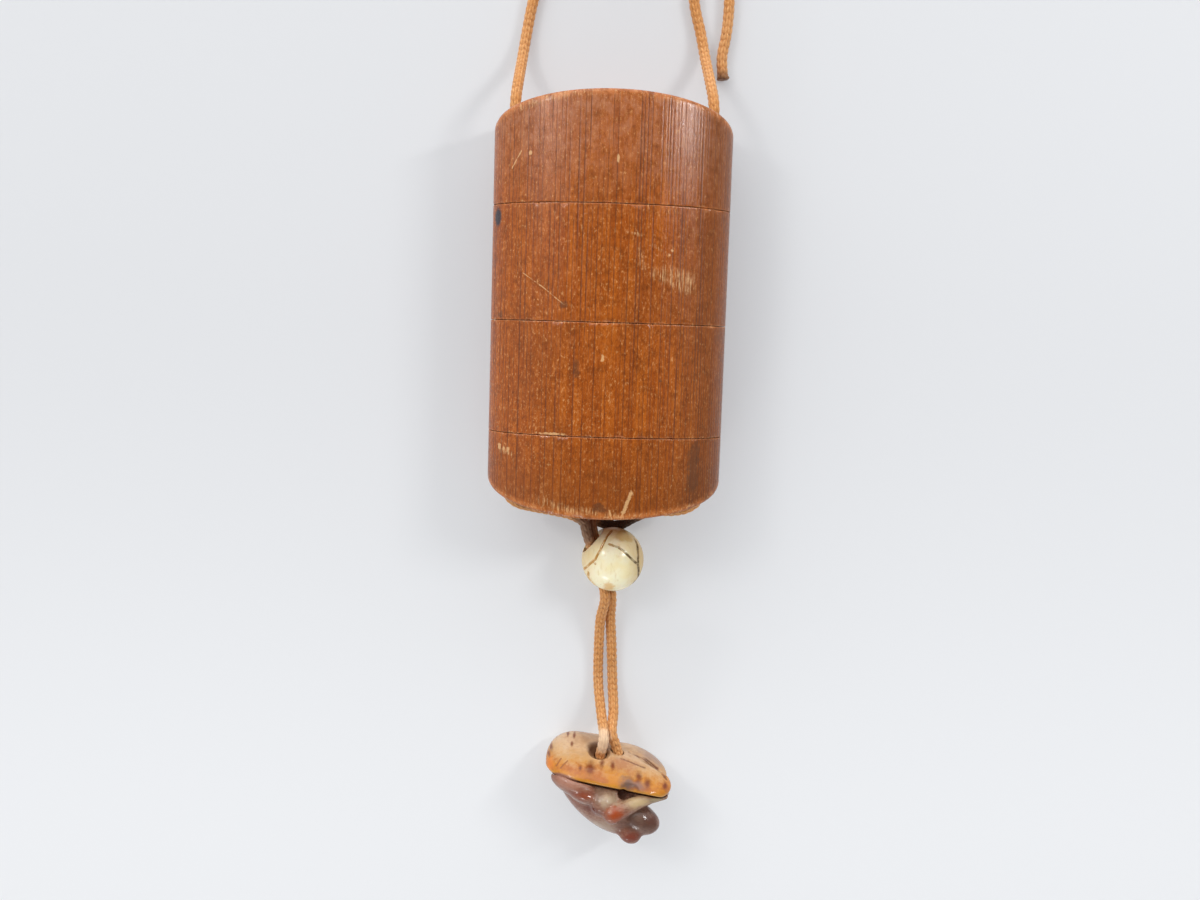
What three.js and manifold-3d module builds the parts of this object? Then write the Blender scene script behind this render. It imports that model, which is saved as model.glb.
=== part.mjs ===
// A four-piece inro: three stacked cases and a lid of arched, elliptical section, hollow and open
// inside, strung on one cord with a round bead and a small carved toggle.
// Millimetres, +Z up. The inro lies on its back with its base end towards +Y and its lid towards -Y.
import * as THREE from 'three';
import { mergeVertices } from 'three/addons/utils/BufferGeometryUtils.js';
import Module from 'manifold-3d';

// --- The stacked cases -------------------------------------------------------------------------
const HALF_WIDTH = 26;
const HALF_DEPTH = 12.75;
const REST_FLAT = 0.25; // how much of the back is planed away so that the inro doesn't roll
const AXIS_Z = HALF_DEPTH - REST_FLAT;
const STACK_LENGTH = 90.25;
const BASE_LENGTH = 23.35;
const LOWER_LENGTH = 24.8;
const UPPER_LENGTH = 24.4;
const BASE_RISE = 7.0; // how far the middle of each arched end stands beyond its corners
const LID_RISE = 7.4;
const EDGE_ROUND = 0.8;
const SEAM_GAP = 0.2;

// --- Inside the cases --------------------------------------------------------------------------
const CAVITY_HALF = [17.9, 9.2]; // half width and half depth of the open space
const RISER_HALF = [19.0, 10.3]; // outside of the rim that enters the next piece
const SOCKET_HALF = [19.3, 10.6]; // inside of the socket that takes it
const RISER_LENGTH = 4.3;
const SOCKET_DEPTH = 4.6;
const FLOOR = 1.8;
const END_WALL = 4.2; // from the tip of an arched end to the flat floor behind it
const INNER_SIDES = 48;

// --- Cord channels -----------------------------------------------------------------------------
const CHANNEL_X = 21.7;
const CHANNEL_RADIUS = 1.5;
const CHANNEL_SIDES = 12;
const FLARE_RADIUS = 2.7; // where a channel opens at an arched end
const FLARE_DEPTH = 2.6;

// --- Cord --------------------------------------------------------------------------------------
const CORD_DIAMETER = 2.3;
const CORD_SIDES = 8;
const KNOT_CENTRE = [6, 87, 2.5];
const KNOT_HALF = [7.0, 5.9, 2.4];

// --- Bead --------------------------------------------------------------------------------------
const BEAD_RADIUS = 7.2;
const BEAD_CENTRE = [2.8, -57.2, 7.1];
const BEAD_STRETCH = [1, 1.03, 1];
const BORE_RADIUS = 2.72;
const BORE_POINT = [-0.4, -57.8, 7.2];
const BORE_DIRECTION = [0.3, -0.949, -0.1];

// --- Toggle ------------------------------------------------------------------------------------
const TOGGLE_CENTRE = [3.45, -111.4, 9.3];
const TOGGLE_TILT = [-22.7, 0, 1.8]; // degrees about X, Y and Z
const LEAF_TILT = 40; // how far the leaf's top leans forward, in degrees
const TUNNEL_RADIUS = 1.56;

const rad = THREE.MathUtils.degToRad;

// The cord's middle line, from its right-hand tail to its left-hand one.
const RIGHT_TAIL = [
  [24.3, 52.7, 1.3],
  [23.9, 57.5, 1.3],
  [24.7, 63, 1.3],
  [25.0, 70.5, 1.3],
  [23.9, 80, 1.3],
  [20.3, 86.6, 1.4],
  [14.6, 88.7, 1.7],
];
const MAIN_RUN = [
  [14.4, 85.3, 1.7],
  [17.2, 82, 1.4],
  [17.4, 76, 1.3],
  [17.1, 70, 1.3],
  [18.9, 62.5, 1.45],
  [20.0, 56.5, 3.4],
  [20.9, 49.8, 9.4],
  [21.5, 45, 12.3],
  [21.7, 39, 12.5],
  [21.7, -37.5, 12.5],
  [21.4, -41.9, 12.2],
  [19.4, -44.05, 10.9],
  [16, -45.1, 9.5],
  [10.5, -46.05, 8.3],
  [5, -46.55, 7.7],
  [0.6, -47, 7.4],
  [-1.8, -48.3, 7.1],
  [-2.06, -50.1, 6.96],
  [2.62, -64.9, 5.4],
  [2.8, -72.3, 2.6],
  [3.3, -79.5, 1.5],
  [3.8, -88.5, 1.5],
  [4.4, -94.3, 4.4],
  [4.3, -98.6, 8.2],
  [5.3, -103.8, 8.1],
  [3.6, -106.4, 7.8],
  [1.7, -104, 9.0],
  [1.8, -98.8, 9.5],
  [0.8, -94.6, 4.9],
  [0.3, -88.5, 1.5],
  [0.25, -79.5, 1.8],
  [0.45, -72.3, 4.0],
  [1.26, -65.5, 7.44],
  [-3.42, -50.7, 9.0],
  [-4.1, -48.5, 8.9],
  [-6.8, -47, 8.5],
  [-11, -46.05, 8.6],
  [-16, -45.1, 9.5],
  [-19.4, -44.05, 10.9],
  [-21.4, -41.9, 12.2],
  [-21.7, -37.5, 12.5],
  [-21.7, 39, 12.5],
  [-21.6, 45, 12.3],
  [-21.4, 49.2, 9.4],
  [-21.1, 55.5, 3.4],
  [-20.4, 61.5, 1.45],
  [-18.9, 69.5, 1.3],
  [-16.0, 78, 1.3],
  [-10.2, 84.2, 1.4],
  [-2.4, 85.3, 2.6],
];
const LEFT_TAIL = [
  [-2.2, 88.7, 2.6],
  [-8.6, 90.4, 1.4],
  [-15.5, 92.6, 1.3],
];

const wasm = await Module();
wasm.setup();

// --- Solids ------------------------------------------------------------------------------------

/** A closed geometry as a manifold solid: shared corners merged and empty triangles dropped. */
function solid(geometry) {
  const bare = geometry.clone();
  bare.deleteAttribute('normal');
  bare.deleteAttribute('uv');
  const merged = mergeVertices(bare, 1e-5);
  const corners = merged.index.array;
  const kept = [];
  for (let i = 0; i < corners.length; i += 3) {
    const [a, b, c] = [corners[i], corners[i + 1], corners[i + 2]];
    if (a !== b && b !== c && c !== a) kept.push(a, b, c);
  }
  const mesh = new wasm.Mesh({
    numProp: 3,
    vertProperties: new Float32Array(merged.attributes.position.array),
    triVerts: new Uint32Array(kept),
  });
  return new wasm.Manifold(mesh);
}

/** A manifold solid as a named mesh of the scene. */
function piece(name, manifold, material) {
  const { vertProperties, triVerts } = manifold.getMesh();
  const geometry = new THREE.BufferGeometry();
  geometry.setAttribute('position', new THREE.BufferAttribute(vertProperties, 3));
  geometry.setIndex(new THREE.BufferAttribute(triVerts, 1));
  geometry.computeVertexNormals();
  const mesh = new THREE.Mesh(geometry, material);
  mesh.name = name;
  return mesh;
}

/** Moves every corner of a geometry by a function of its position. */
function reshape(geometry, move) {
  const position = geometry.attributes.position;
  const corner = new THREE.Vector3();
  for (let i = 0; i < position.count; i++) {
    corner.fromBufferAttribute(position, i);
    move(corner);
    position.setXYZ(i, corner.x, corner.y, corner.z);
  }
  return geometry;
}

/** An upright slice of an ellipse along Y, on the inro's middle line. */
function ellipsePrism([halfWidth, halfDepth], from, to) {
  const geometry = new THREE.CylinderGeometry(1, 1, to - from, INNER_SIDES);
  geometry.scale(halfWidth, 1, halfDepth);
  geometry.translate(0, (from + to) / 2, AXIS_Z);
  return geometry;
}

/** A round bar or cone from one point to another. */
function bar(from, to, radiusFrom, radiusTo, sides) {
  const start = new THREE.Vector3(...from);
  const along = new THREE.Vector3(...to).sub(start);
  const geometry = new THREE.CylinderGeometry(radiusTo, radiusFrom, along.length(), sides);
  geometry.translate(0, along.length() / 2, 0);
  const turn = new THREE.Quaternion().setFromUnitVectors(THREE.Object3D.DEFAULT_UP, along.normalize());
  geometry.applyQuaternion(turn);
  geometry.translate(...start.toArray());
  return geometry;
}

// --- Cases and lid -----------------------------------------------------------------------------
const BODY_SIDES = 64;
const END_RINGS = [0.7, 0.35, 0];
const ROUND_STEPS = 2;

/** Gives a unit-radius body the inro's section, with the back planed flat. */
function toSection(corner) {
  corner.x *= HALF_WIDTH;
  corner.z = Math.max(corner.z * HALF_DEPTH + AXIS_Z, 0);
}

/** The outside of a piece with two flat ends. */
function openBody(from, to) {
  const geometry = new THREE.CylinderGeometry(1, 1, to - from, BODY_SIDES);
  geometry.translate(0, (from + to) / 2, 0);
  return reshape(geometry, toSection);
}

/** The outside of a piece that starts flat at Y = 0 and ends in an arch towards +Y. */
function archedBody(length, rise) {
  const profile = [new THREE.Vector2(0, 0), new THREE.Vector2(1, 0)];
  for (let i = 0; i <= ROUND_STEPS; i++) {
    const turn = (i / ROUND_STEPS) * (Math.PI / 2);
    const inwards = (EDGE_ROUND / HALF_WIDTH) * (1 - Math.cos(turn));
    profile.push(new THREE.Vector2(1 - inwards, length - EDGE_ROUND * (1 - Math.sin(turn))));
  }
  END_RINGS.forEach((ring) => profile.push(new THREE.Vector2(ring, length)));
  const geometry = new THREE.LatheGeometry(profile, BODY_SIDES);
  return reshape(geometry, (corner) => {
    const beyondSeam = corner.y > 0;
    const across = Math.min(Math.abs(corner.x), 1);
    if (beyondSeam) corner.y -= rise * (1 - Math.sqrt(1 - across * across));
    toSection(corner);
  });
}

/** The same arch at the lid's end: turned half round in the plane that the inro lies on. */
function turnedBody(length, rise, seam) {
  const geometry = archedBody(length, rise);
  geometry.rotateZ(Math.PI);
  geometry.translate(0, seam, 0);
  return geometry;
}

/** Cuts both cord channels, and a worn flare where an arched end meets them. */
function cutChannels(body, from, to, flares) {
  let cut = body;
  for (const x of [-CHANNEL_X, CHANNEL_X]) {
    const start = [x, from, AXIS_Z];
    const end = [x, to, AXIS_Z];
    cut = cut.subtract(solid(bar(start, end, CHANNEL_RADIUS, CHANNEL_RADIUS, CHANNEL_SIDES)));
    for (const { mouth, inwards } of flares) {
      const inner = [x, mouth + inwards * FLARE_DEPTH, AXIS_Z];
      const outer = [x, mouth - inwards * FLARE_DEPTH, AXIS_Z];
      const outerRadius = 2 * FLARE_RADIUS - CHANNEL_RADIUS;
      cut = cut.subtract(solid(bar(inner, outer, CHANNEL_RADIUS, outerRadius, CHANNEL_SIDES)));
    }
  }
  return cut;
}

/** The rim that stands out of a case's open side, towards -Y. */
function riser(seam) {
  return solid(ellipsePrism(RISER_HALF, seam - RISER_LENGTH, seam + FLOOR));
}

/** Where a cord channel comes out of an arched end whose tip is at this Y. */
function mouthOf(tip, rise) {
  const across = CHANNEL_X / HALF_WIDTH;
  return tip - Math.sign(tip) * rise * (1 - Math.sqrt(1 - across * across));
}

const TIP = STACK_LENGTH / 2;
const BASE_SEAM = TIP - BASE_LENGTH;
const MIDDLE_SEAM = BASE_SEAM - LOWER_LENGTH;
const LID_SEAM = MIDDLE_SEAM - UPPER_LENGTH;
const OVERRUN = 5;

/** The closed bottom case, with its arched end towards +Y. */
function baseCase() {
  const seam = BASE_SEAM + SEAM_GAP;
  const outside = archedBody(TIP - seam, BASE_RISE);
  outside.translate(0, seam, 0);
  const cavity = ellipsePrism(CAVITY_HALF, seam - RISER_LENGTH - OVERRUN, TIP - END_WALL);
  const body = solid(outside).add(riser(seam)).subtract(solid(cavity));
  const flare = { mouth: mouthOf(TIP, BASE_RISE), inwards: -1 };
  return cutChannels(body, seam - OVERRUN, TIP + OVERRUN, [flare]);
}

/** A case between two others: a socket below its floor and a rim above its open side. */
function middleCase(low, high) {
  const seam = low + SEAM_GAP;
  const floorTop = high - SOCKET_DEPTH - FLOOR;
  const cavity = ellipsePrism(CAVITY_HALF, seam - RISER_LENGTH - OVERRUN, floorTop);
  const socket = ellipsePrism(SOCKET_HALF, high - SOCKET_DEPTH, high + OVERRUN);
  const body = solid(openBody(seam, high)).add(riser(seam)).subtract(solid(cavity));
  return cutChannels(body.subtract(solid(socket)), low - OVERRUN, high + OVERRUN, []);
}

/** The lid, hollow to its end wall, with its arched end towards -Y. */
function lid() {
  const outside = turnedBody(LID_SEAM + TIP, LID_RISE, LID_SEAM);
  const hollow = ellipsePrism(SOCKET_HALF, -TIP + END_WALL, LID_SEAM + OVERRUN);
  const body = solid(outside).subtract(solid(hollow));
  const flare = { mouth: mouthOf(-TIP, LID_RISE), inwards: 1 };
  return cutChannels(body, -TIP - OVERRUN, LID_SEAM + OVERRUN, [flare]);
}

// --- Cord --------------------------------------------------------------------------------------

/** A smooth line through listed points, stepped evenly from point to point. */
class Route extends THREE.CatmullRomCurve3 {
  constructor(points) {
    super(points.map((point) => new THREE.Vector3(...point)), false, 'centripetal');
  }

  getPointAt(u, target) {
    return this.getPoint(u, target);
  }

  getTangentAt(u, target) {
    return this.getTangent(u, target);
  }
}

/** A round tube along a list of points. */
function tube(points, radius, sides = CORD_SIDES) {
  const outline = [];
  for (let i = 0; i < sides; i++) {
    const angle = (2 * Math.PI * (i + 0.5)) / sides;
    outline.push(new THREE.Vector2(radius * Math.cos(angle), radius * Math.sin(angle)));
  }
  return new THREE.ExtrudeGeometry(new THREE.Shape(outline), {
    steps: points.length - 1,
    bevelEnabled: false,
    extrudePath: new Route(points),
  });
}

/** The whole cord: one tube from tail to tail, with its knot as one rounded lump. */
function cord() {
  const knot = new THREE.SphereGeometry(1, 16, 10);
  knot.scale(...KNOT_HALF);
  knot.translate(...KNOT_CENTRE);
  const [x, y, z] = KNOT_CENTRE;
  const reach = KNOT_HALF[0] / 2;
  const lines = [
    [...RIGHT_TAIL, [x + reach, y + CORD_DIAMETER, z]],
    [[x + reach, y - CORD_DIAMETER, z], ...MAIN_RUN, [x - reach, y - CORD_DIAMETER, z]],
    [[x - reach, y + CORD_DIAMETER, z], ...LEFT_TAIL],
  ];
  return lines.reduce((sum, line) => sum.add(solid(tube(line, CORD_DIAMETER / 2))), solid(knot));
}

// --- Bead --------------------------------------------------------------------------------------

/** A round bead with a straight bore past its middle, resting on a small flat spot. */
function bead() {
  const ball = new THREE.SphereGeometry(BEAD_RADIUS, 28, 16);
  ball.scale(...BEAD_STRETCH);
  ball.translate(...BEAD_CENTRE);
  reshape(ball, (corner) => {
    corner.z = Math.max(corner.z, 0);
  });
  const middle = new THREE.Vector3(...BORE_POINT);
  const overrun = new THREE.Vector3(...BORE_DIRECTION).setLength(BEAD_RADIUS * 1.5);
  const from = middle.clone().sub(overrun).toArray();
  const to = middle.clone().add(overrun).toArray();
  return solid(ball).subtract(solid(bar(from, to, BORE_RADIUS, BORE_RADIUS, 20)));
}

// --- Toggle ------------------------------------------------------------------------------------
// Its lumps are given in a frame of its own: x across, y up the leaf and z out of its front.
// Each has a centre, three half sizes and turns in degrees about x and z.
const LUMPS = [
  { centre: [-5.4, 6.2, 0.2], half: [9.3, 4.1, 9.2], lean: LEAF_TILT, turn: 0 }, // leaf
  { centre: [-8.2, 8.1, -1.6], half: [6.1, 4.5, 5.8], lean: LEAF_TILT, turn: 0 }, // leaf shoulder
  { centre: [0.6, 4.3, 2.0], half: [8.6, 3.5, 7.8], lean: LEAF_TILT, turn: -8 }, // leaf middle
  { centre: [6.2, 5.4, -1.6], half: [8.3, 3.1, 5.6], lean: LEAF_TILT, turn: -24 }, // back lobe
  { centre: [6.8, 1.8, 3.8], half: [7.9, 2.7, 6.0], lean: LEAF_TILT, turn: -12 }, // front lobe
  { centre: [-7.0, -0.1, 3.4], half: [6.6, 3.0, 4.6], lean: 0, turn: -26 }, // haunch
  { centre: [-2.0, -0.7, -1.6], half: [12.6, 6.7, 7.4], lean: 0, turn: -42 }, // body
  { centre: [1.1, -5.9, 4.6], half: [2.7, 2.6, 3.0], lean: 0, turn: 0 }, // knee
  { centre: [5.6, -3.6, 4.2], half: [5.2, 1.9, 2.6], lean: 0, turn: 24 }, // fore leg
  { centre: [7.2, -6.5, 0.4], half: [5.0, 3.4, 4.4], lean: 0, turn: -40 }, // head
  { centre: [5.0, -10.6, 0.8], half: [2.4, 1.9, 2.2], lean: 0, turn: 0 }, // muzzle
];
const NOTCH = { centre: [5.3, 1.0, 9.4], half: [2.2, 1.9, 2.6], lean: 0, turn: -20 };
const EAR_HOLE = { from: [3.3, -1.2, 10], to: [3.3, -1.4, 3.4], radius: 1.05 };
const HOLE_MOUTH = { centre: [1.4, -101.9, 9.9], radius: 2.5 };

/** A rounded lump: a ball stretched to its half sizes, leaned and turned, at its centre. */
function lump({ centre, half, lean, turn }) {
  const sides = 8 + 2 * Math.round(Math.max(...half) / 3);
  const geometry = new THREE.SphereGeometry(1, sides, sides / 2 + 2);
  geometry.scale(...half);
  geometry.rotateX(rad(lean));
  geometry.rotateZ(rad(turn));
  geometry.translate(...centre);
  return solid(geometry);
}

/** The points of the cord that lie inside the toggle, with a stretch outside each hole. */
function tunnelRun() {
  const inside = MAIN_RUN.findIndex((point) => point[1] < -103);
  return MAIN_RUN.slice(inside - 2, inside + 5);
}

/** A small crouching animal under a curled leaf, bored for the cord. */
function toggle() {
  const placed = new THREE.Object3D();
  placed.position.set(...TOGGLE_CENTRE);
  placed.rotation.set(...TOGGLE_TILT.map(rad));
  placed.updateMatrix();
  const { from, to, radius } = EAR_HOLE;
  let carved = LUMPS.map(lump).reduce((sum, next) => sum.add(next));
  carved = carved.subtract(lump(NOTCH)).subtract(solid(bar(from, to, radius, radius, 12)));
  carved = carved.transform(placed.matrix.toArray());
  const mouth = new THREE.SphereGeometry(HOLE_MOUTH.radius, 16, 10);
  mouth.translate(...HOLE_MOUTH.centre);
  carved = carved.subtract(solid(mouth)).subtract(solid(tube(tunnelRun(), TUNNEL_RADIUS, 10)));
  const ground = new THREE.BoxGeometry(80, 80, 20);
  ground.translate(TOGGLE_CENTRE[0], TOGGLE_CENTRE[1], -10);
  return carved.subtract(solid(ground));
}

// --- Materials and the finished part -----------------------------------------------------------
const wood = new THREE.MeshStandardMaterial({ color: 0x9a5426, roughness: 0.38, metalness: 0 });
const silk = new THREE.MeshStandardMaterial({ color: 0xc08a4c, roughness: 0.85, metalness: 0 });
const bone = new THREE.MeshStandardMaterial({ color: 0xe6d7a6, roughness: 0.3, metalness: 0 });
const horn = new THREE.MeshStandardMaterial({ color: 0xb9824e, roughness: 0.25, metalness: 0 });

const inro = new THREE.Group();
inro.add(piece('base_case', baseCase(), wood));
inro.add(piece('lower_case', middleCase(MIDDLE_SEAM, BASE_SEAM), wood));
inro.add(piece('upper_case', middleCase(LID_SEAM, MIDDLE_SEAM), wood));
inro.add(piece('lid', lid(), wood));
inro.add(piece('cord', cord(), silk));
inro.add(piece('ojime_bead', bead(), bone));
inro.add(piece('netsuke', toggle(), horn));

export default inro;
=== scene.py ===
"""An inro of three stacked cases and a lid, with its cord, bead and netsuke, lying on a pale table."""

import math

import bpy
import numpy as np
from mathutils import Matrix, Vector


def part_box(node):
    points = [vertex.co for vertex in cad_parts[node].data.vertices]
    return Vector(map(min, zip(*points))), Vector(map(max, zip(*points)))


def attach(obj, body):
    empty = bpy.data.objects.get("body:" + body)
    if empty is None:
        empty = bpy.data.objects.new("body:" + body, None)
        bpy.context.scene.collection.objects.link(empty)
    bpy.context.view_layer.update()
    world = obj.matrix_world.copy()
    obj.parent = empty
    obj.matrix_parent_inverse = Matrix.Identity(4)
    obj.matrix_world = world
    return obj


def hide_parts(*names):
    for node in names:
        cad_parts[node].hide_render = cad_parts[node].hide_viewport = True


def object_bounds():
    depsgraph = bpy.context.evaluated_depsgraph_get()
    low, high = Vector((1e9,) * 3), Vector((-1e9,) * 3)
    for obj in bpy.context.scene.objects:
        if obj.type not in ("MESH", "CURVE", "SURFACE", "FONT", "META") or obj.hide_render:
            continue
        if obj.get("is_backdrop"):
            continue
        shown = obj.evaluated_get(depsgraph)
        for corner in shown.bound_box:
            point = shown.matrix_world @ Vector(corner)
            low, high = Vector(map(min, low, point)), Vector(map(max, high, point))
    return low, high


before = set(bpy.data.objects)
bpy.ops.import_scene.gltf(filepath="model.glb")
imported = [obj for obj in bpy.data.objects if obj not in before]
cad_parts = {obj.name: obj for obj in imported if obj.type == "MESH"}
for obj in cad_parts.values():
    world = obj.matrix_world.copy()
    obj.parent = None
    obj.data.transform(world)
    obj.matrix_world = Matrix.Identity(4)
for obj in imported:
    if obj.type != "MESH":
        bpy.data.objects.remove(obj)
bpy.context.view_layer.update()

MM = 0.001
BODY = "root"

# --- Sizes shared with the frame, in millimetres --------------------------------------------------
HALF_WIDTH = 26.0
HALF_DEPTH = 12.75
AXIS_Z = 12.5
BASE_RISE = 7.0
LID_RISE = 7.4
CAVITY_HALF = (17.9, 9.2)
RISER_HALF = (19.0, 10.3)
SOCKET_HALF = (19.3, 10.6)
SOCKET_DEPTH = 4.6
FLOOR = 1.8
END_WALL = 4.2
CHANNEL_X = 21.7
CHANNEL_RADIUS = 1.5
FLARE_RADIUS = 2.7
FLARE_DEPTH = 2.6
CORD_RADIUS = 1.15
BEAD_CENTRE = (2.8, -57.2, 7.1)
BEAD_HALF = (7.2, 7.416, 7.2)
BORE_RADIUS = 2.72
BORE_POINT = (-0.4, -57.8, 7.2)
BORE_DIRECTION = (0.3, -0.949, -0.1)
NETSUKE_CENTRE = (3.45, -111.4, 9.3)
NETSUKE_LEAN = -22.7
NETSUKE_TURN = 1.8


# --- Camera -----------------------------------------------------------------------------------------
CAMERA_PLACE = (-0.92, -5.31, 262.5)
CAMERA_LEAN = -5.945
CAMERA_ROLL = 1.792
SENSOR_WIDTH = 36.0
LENS = 33.575


def make_camera():
    """Looks almost straight down on the inro, leaning a little towards its lid."""
    camera_data = bpy.data.cameras.new("camera")
    camera_data.sensor_width = SENSOR_WIDTH
    camera_data.lens = LENS
    camera_data.clip_start = 0.01
    camera = bpy.data.objects.new("camera", camera_data)
    bpy.context.collection.objects.link(camera)
    camera.location = Vector(CAMERA_PLACE) * MM
    lean = Matrix.Rotation(math.radians(CAMERA_LEAN), 3, "X")
    roll = Matrix.Rotation(math.radians(CAMERA_ROLL), 3, "Z")
    camera.rotation_euler = (lean @ roll).to_euler()
    bpy.context.scene.camera = camera


# --- Mesh making ------------------------------------------------------------------------------------
def mesh_object(name, corners, faces, fields=None):
    """A smooth mesh from corners in millimetres, faces of one size and named values per corner."""
    mesh = bpy.data.meshes.new(name)
    mesh.vertices.add(len(corners))
    mesh.vertices.foreach_set("co", (np.asarray(corners) * MM).astype(np.float32).ravel())
    mesh.loops.add(faces.size)
    mesh.loops.foreach_set("vertex_index", faces.astype(np.int32).ravel())
    mesh.polygons.add(len(faces))
    starts = np.arange(0, faces.size, faces.shape[1], dtype=np.int32)
    mesh.polygons.foreach_set("loop_start", starts)
    for field, values in (fields or {}).items():
        stored = mesh.attributes.new(field, "FLOAT", "POINT")
        stored.data.foreach_set("value", values.astype(np.float32))
    mesh.update(calc_edges=True)
    mesh.validate()
    mesh.shade_smooth()
    made = bpy.data.objects.new(name, mesh)
    bpy.context.collection.objects.link(made)
    return made


def dress(made, material, slot, *nodes):
    """Gives a piece its material and its place on the frame, and hides the frame nodes that it stands
    for.
    """
    made.data.materials.clear()
    made.data.materials.append(material)
    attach(made, BODY)
    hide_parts(*nodes)
    return made


SAMPLES_PER_STRETCH = 60


def smooth_line(points, step):
    """Evenly spaced points on a centripetal Catmull-Rom line through the given ones."""
    given = np.asarray(points, float)
    padded = np.vstack([2 * given[0] - given[1], given, 2 * given[-1] - given[-2]])
    run = []
    t = np.linspace(0, 1, SAMPLES_PER_STRETCH, endpoint=False)[:, None]
    for before, start, end, after in zip(padded, padded[1:], padded[2:], padded[3:]):
        a = np.linalg.norm(start - before) ** 0.5
        b = np.linalg.norm(end - start) ** 0.5
        c = np.linalg.norm(after - end) ** 0.5
        leave = ((start - before) / a - (end - before) / (a + b) + (end - start) / b) * b
        arrive = ((end - start) / b - (after - start) / (b + c) + (after - end) / c) * b
        run.append(
            start
            + leave * t
            + (3 * (end - start) - 2 * leave - arrive) * t**2
            + (2 * (start - end) + leave + arrive) * t**3
        )
    line = np.vstack([*run, given[-1:]])
    along = np.concatenate([[0], np.cumsum(np.linalg.norm(np.diff(line, axis=0), axis=1))])
    count = int(round(along[-1] / step))
    even = np.linspace(0, along[-1], count + 1)
    return np.stack([np.interp(even, along, line[:, i]) for i in range(3)], 1), along[-1]


# --- Cord -------------------------------------------------------------------------------------------
RIGHT_TAIL = [
    (24.3, 52.7, 1.3), (23.9, 57.5, 1.3), (24.7, 63, 1.3), (25.0, 70.5, 1.3), (23.9, 80, 1.3),
    (20.3, 86.6, 1.4), (14.6, 88.7, 1.7),
]
MAIN_RUN = [
    (14.4, 85.3, 1.7), (17.2, 82, 1.4), (17.4, 76, 1.3), (17.1, 70, 1.3), (18.9, 62.5, 1.45),
    (20.0, 56.5, 3.4), (20.9, 49.8, 9.4), (21.5, 45, 12.3), (21.7, 39, 12.5), (21.7, -37.5, 12.5),
    (21.4, -41.9, 12.2), (19.4, -44.05, 10.9), (16, -45.1, 9.5), (11.6, -45.5, 7.6),
    (7.6, -47.6, 5.2), (3.8, -49.9, 3.3), (0.2, -49.4, 3.7), (-1.9, -48.6, 5.6), (-2.06, -50.6, 6.94),
    (2.62, -64.9, 5.4), (2.8, -72.3, 2.6), (3.3, -79.5, 1.5), (3.8, -88.5, 1.5),
    (4.2, -94.3, 4.4), (3.95, -98.5, 8.3), (5.1, -101.9, 8.1), (5.5, -104.2, 8.0),
    (3.5, -106.3, 8.0), (1.5, -104.2, 8.5), (1.8, -101.4, 9.6), (2.1, -98.8, 10.0),
    (1.3, -94.6, 5.2), (0.4, -88.5, 1.5),
    (0.25, -79.5, 1.8), (0.45, -72.3, 4.0), (1.26, -65.5, 7.44), (-3.42, -50.7, 9.0),
    (-4.1, -48.5, 8.9), (-6.8, -47, 8.5), (-11, -46.05, 8.6), (-16, -45.1, 9.5),
    (-19.4, -44.05, 10.9), (-21.4, -41.9, 12.2), (-21.7, -37.5, 12.5), (-21.7, 39, 12.5),
    (-21.6, 45, 12.3), (-21.4, 49.2, 9.4), (-21.1, 55.5, 3.4), (-20.4, 61.5, 1.45),
    (-18.9, 69.5, 1.3), (-16.0, 78, 1.3), (-10.2, 84.2, 1.4), (-2.4, 85.3, 2.6),
]
LEFT_TAIL = [(-2.2, 88.7, 2.6), (-8.6, 90.4, 1.4), (-15.5, 92.6, 1.3)]
KNOT_CENTRE = (6.0, 87.0, 2.9)
KNOT_SCALE = 1.35
# Half of one bight of the reef knot, from its standing side to the middle of its loop.
KNOT_BIGHT = [
    (-4.5, -1.6, 1.2), (-1.35, -2.2, 0.2), (0, -3.25, -1.2), (2.7, -4.45, -0.3),
    (4.5, -3.2, 0.8), (4.9, 0, 1.2),
]
CORD_SIDES = 40
CORD_STEP = 0.26
PLAIT_COLUMNS = 5  # columns of V stitches round the cord
STITCH_PITCH = 1.5
STITCH_SLOPE = 0.55
BRAID_DEPTH = 0.3
BRAID_MIDDLE = 0.7  # the height of the braid that lies at the cord's own radius
FRAYED_RINGS = (0.98, 1.1, 1.12, 1.08, 1.04)  # how wide each cut end spreads, from its tip inwards
FRAY_TUFTS = 7
FRAY_DEPTH = 0.12
END_DOME = 0.25


def knot_strand(side):
    """One bight of the reef knot, from its standing side to its tail: 1 leaves left, -1 right."""
    there = [(x * side, y, z * side) for x, y, z in KNOT_BIGHT]
    back = [(x, -y, z) for x, y, z in reversed(there[:-1])]
    return [
        tuple(c + KNOT_SCALE * v for c, v in zip(KNOT_CENTRE, point)) for point in there + back
    ]


def braid_height(around, along):
    """How high the braid stands, 0 to 1, at an angle round the cord and a length along it."""
    lane = (around * PLAIT_COLUMNS / (2 * math.pi) + 0.25) % 1
    arm = np.abs(2 * lane - 1)
    stitch = (along / STITCH_PITCH + STITCH_SLOPE * arm) % 1
    bulge = np.sqrt(np.clip(1 - (2 * stitch - 1) ** 2, 0, 1))
    return bulge * (1 - 0.6 * np.abs(2 * arm - 1) ** 3)


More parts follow.
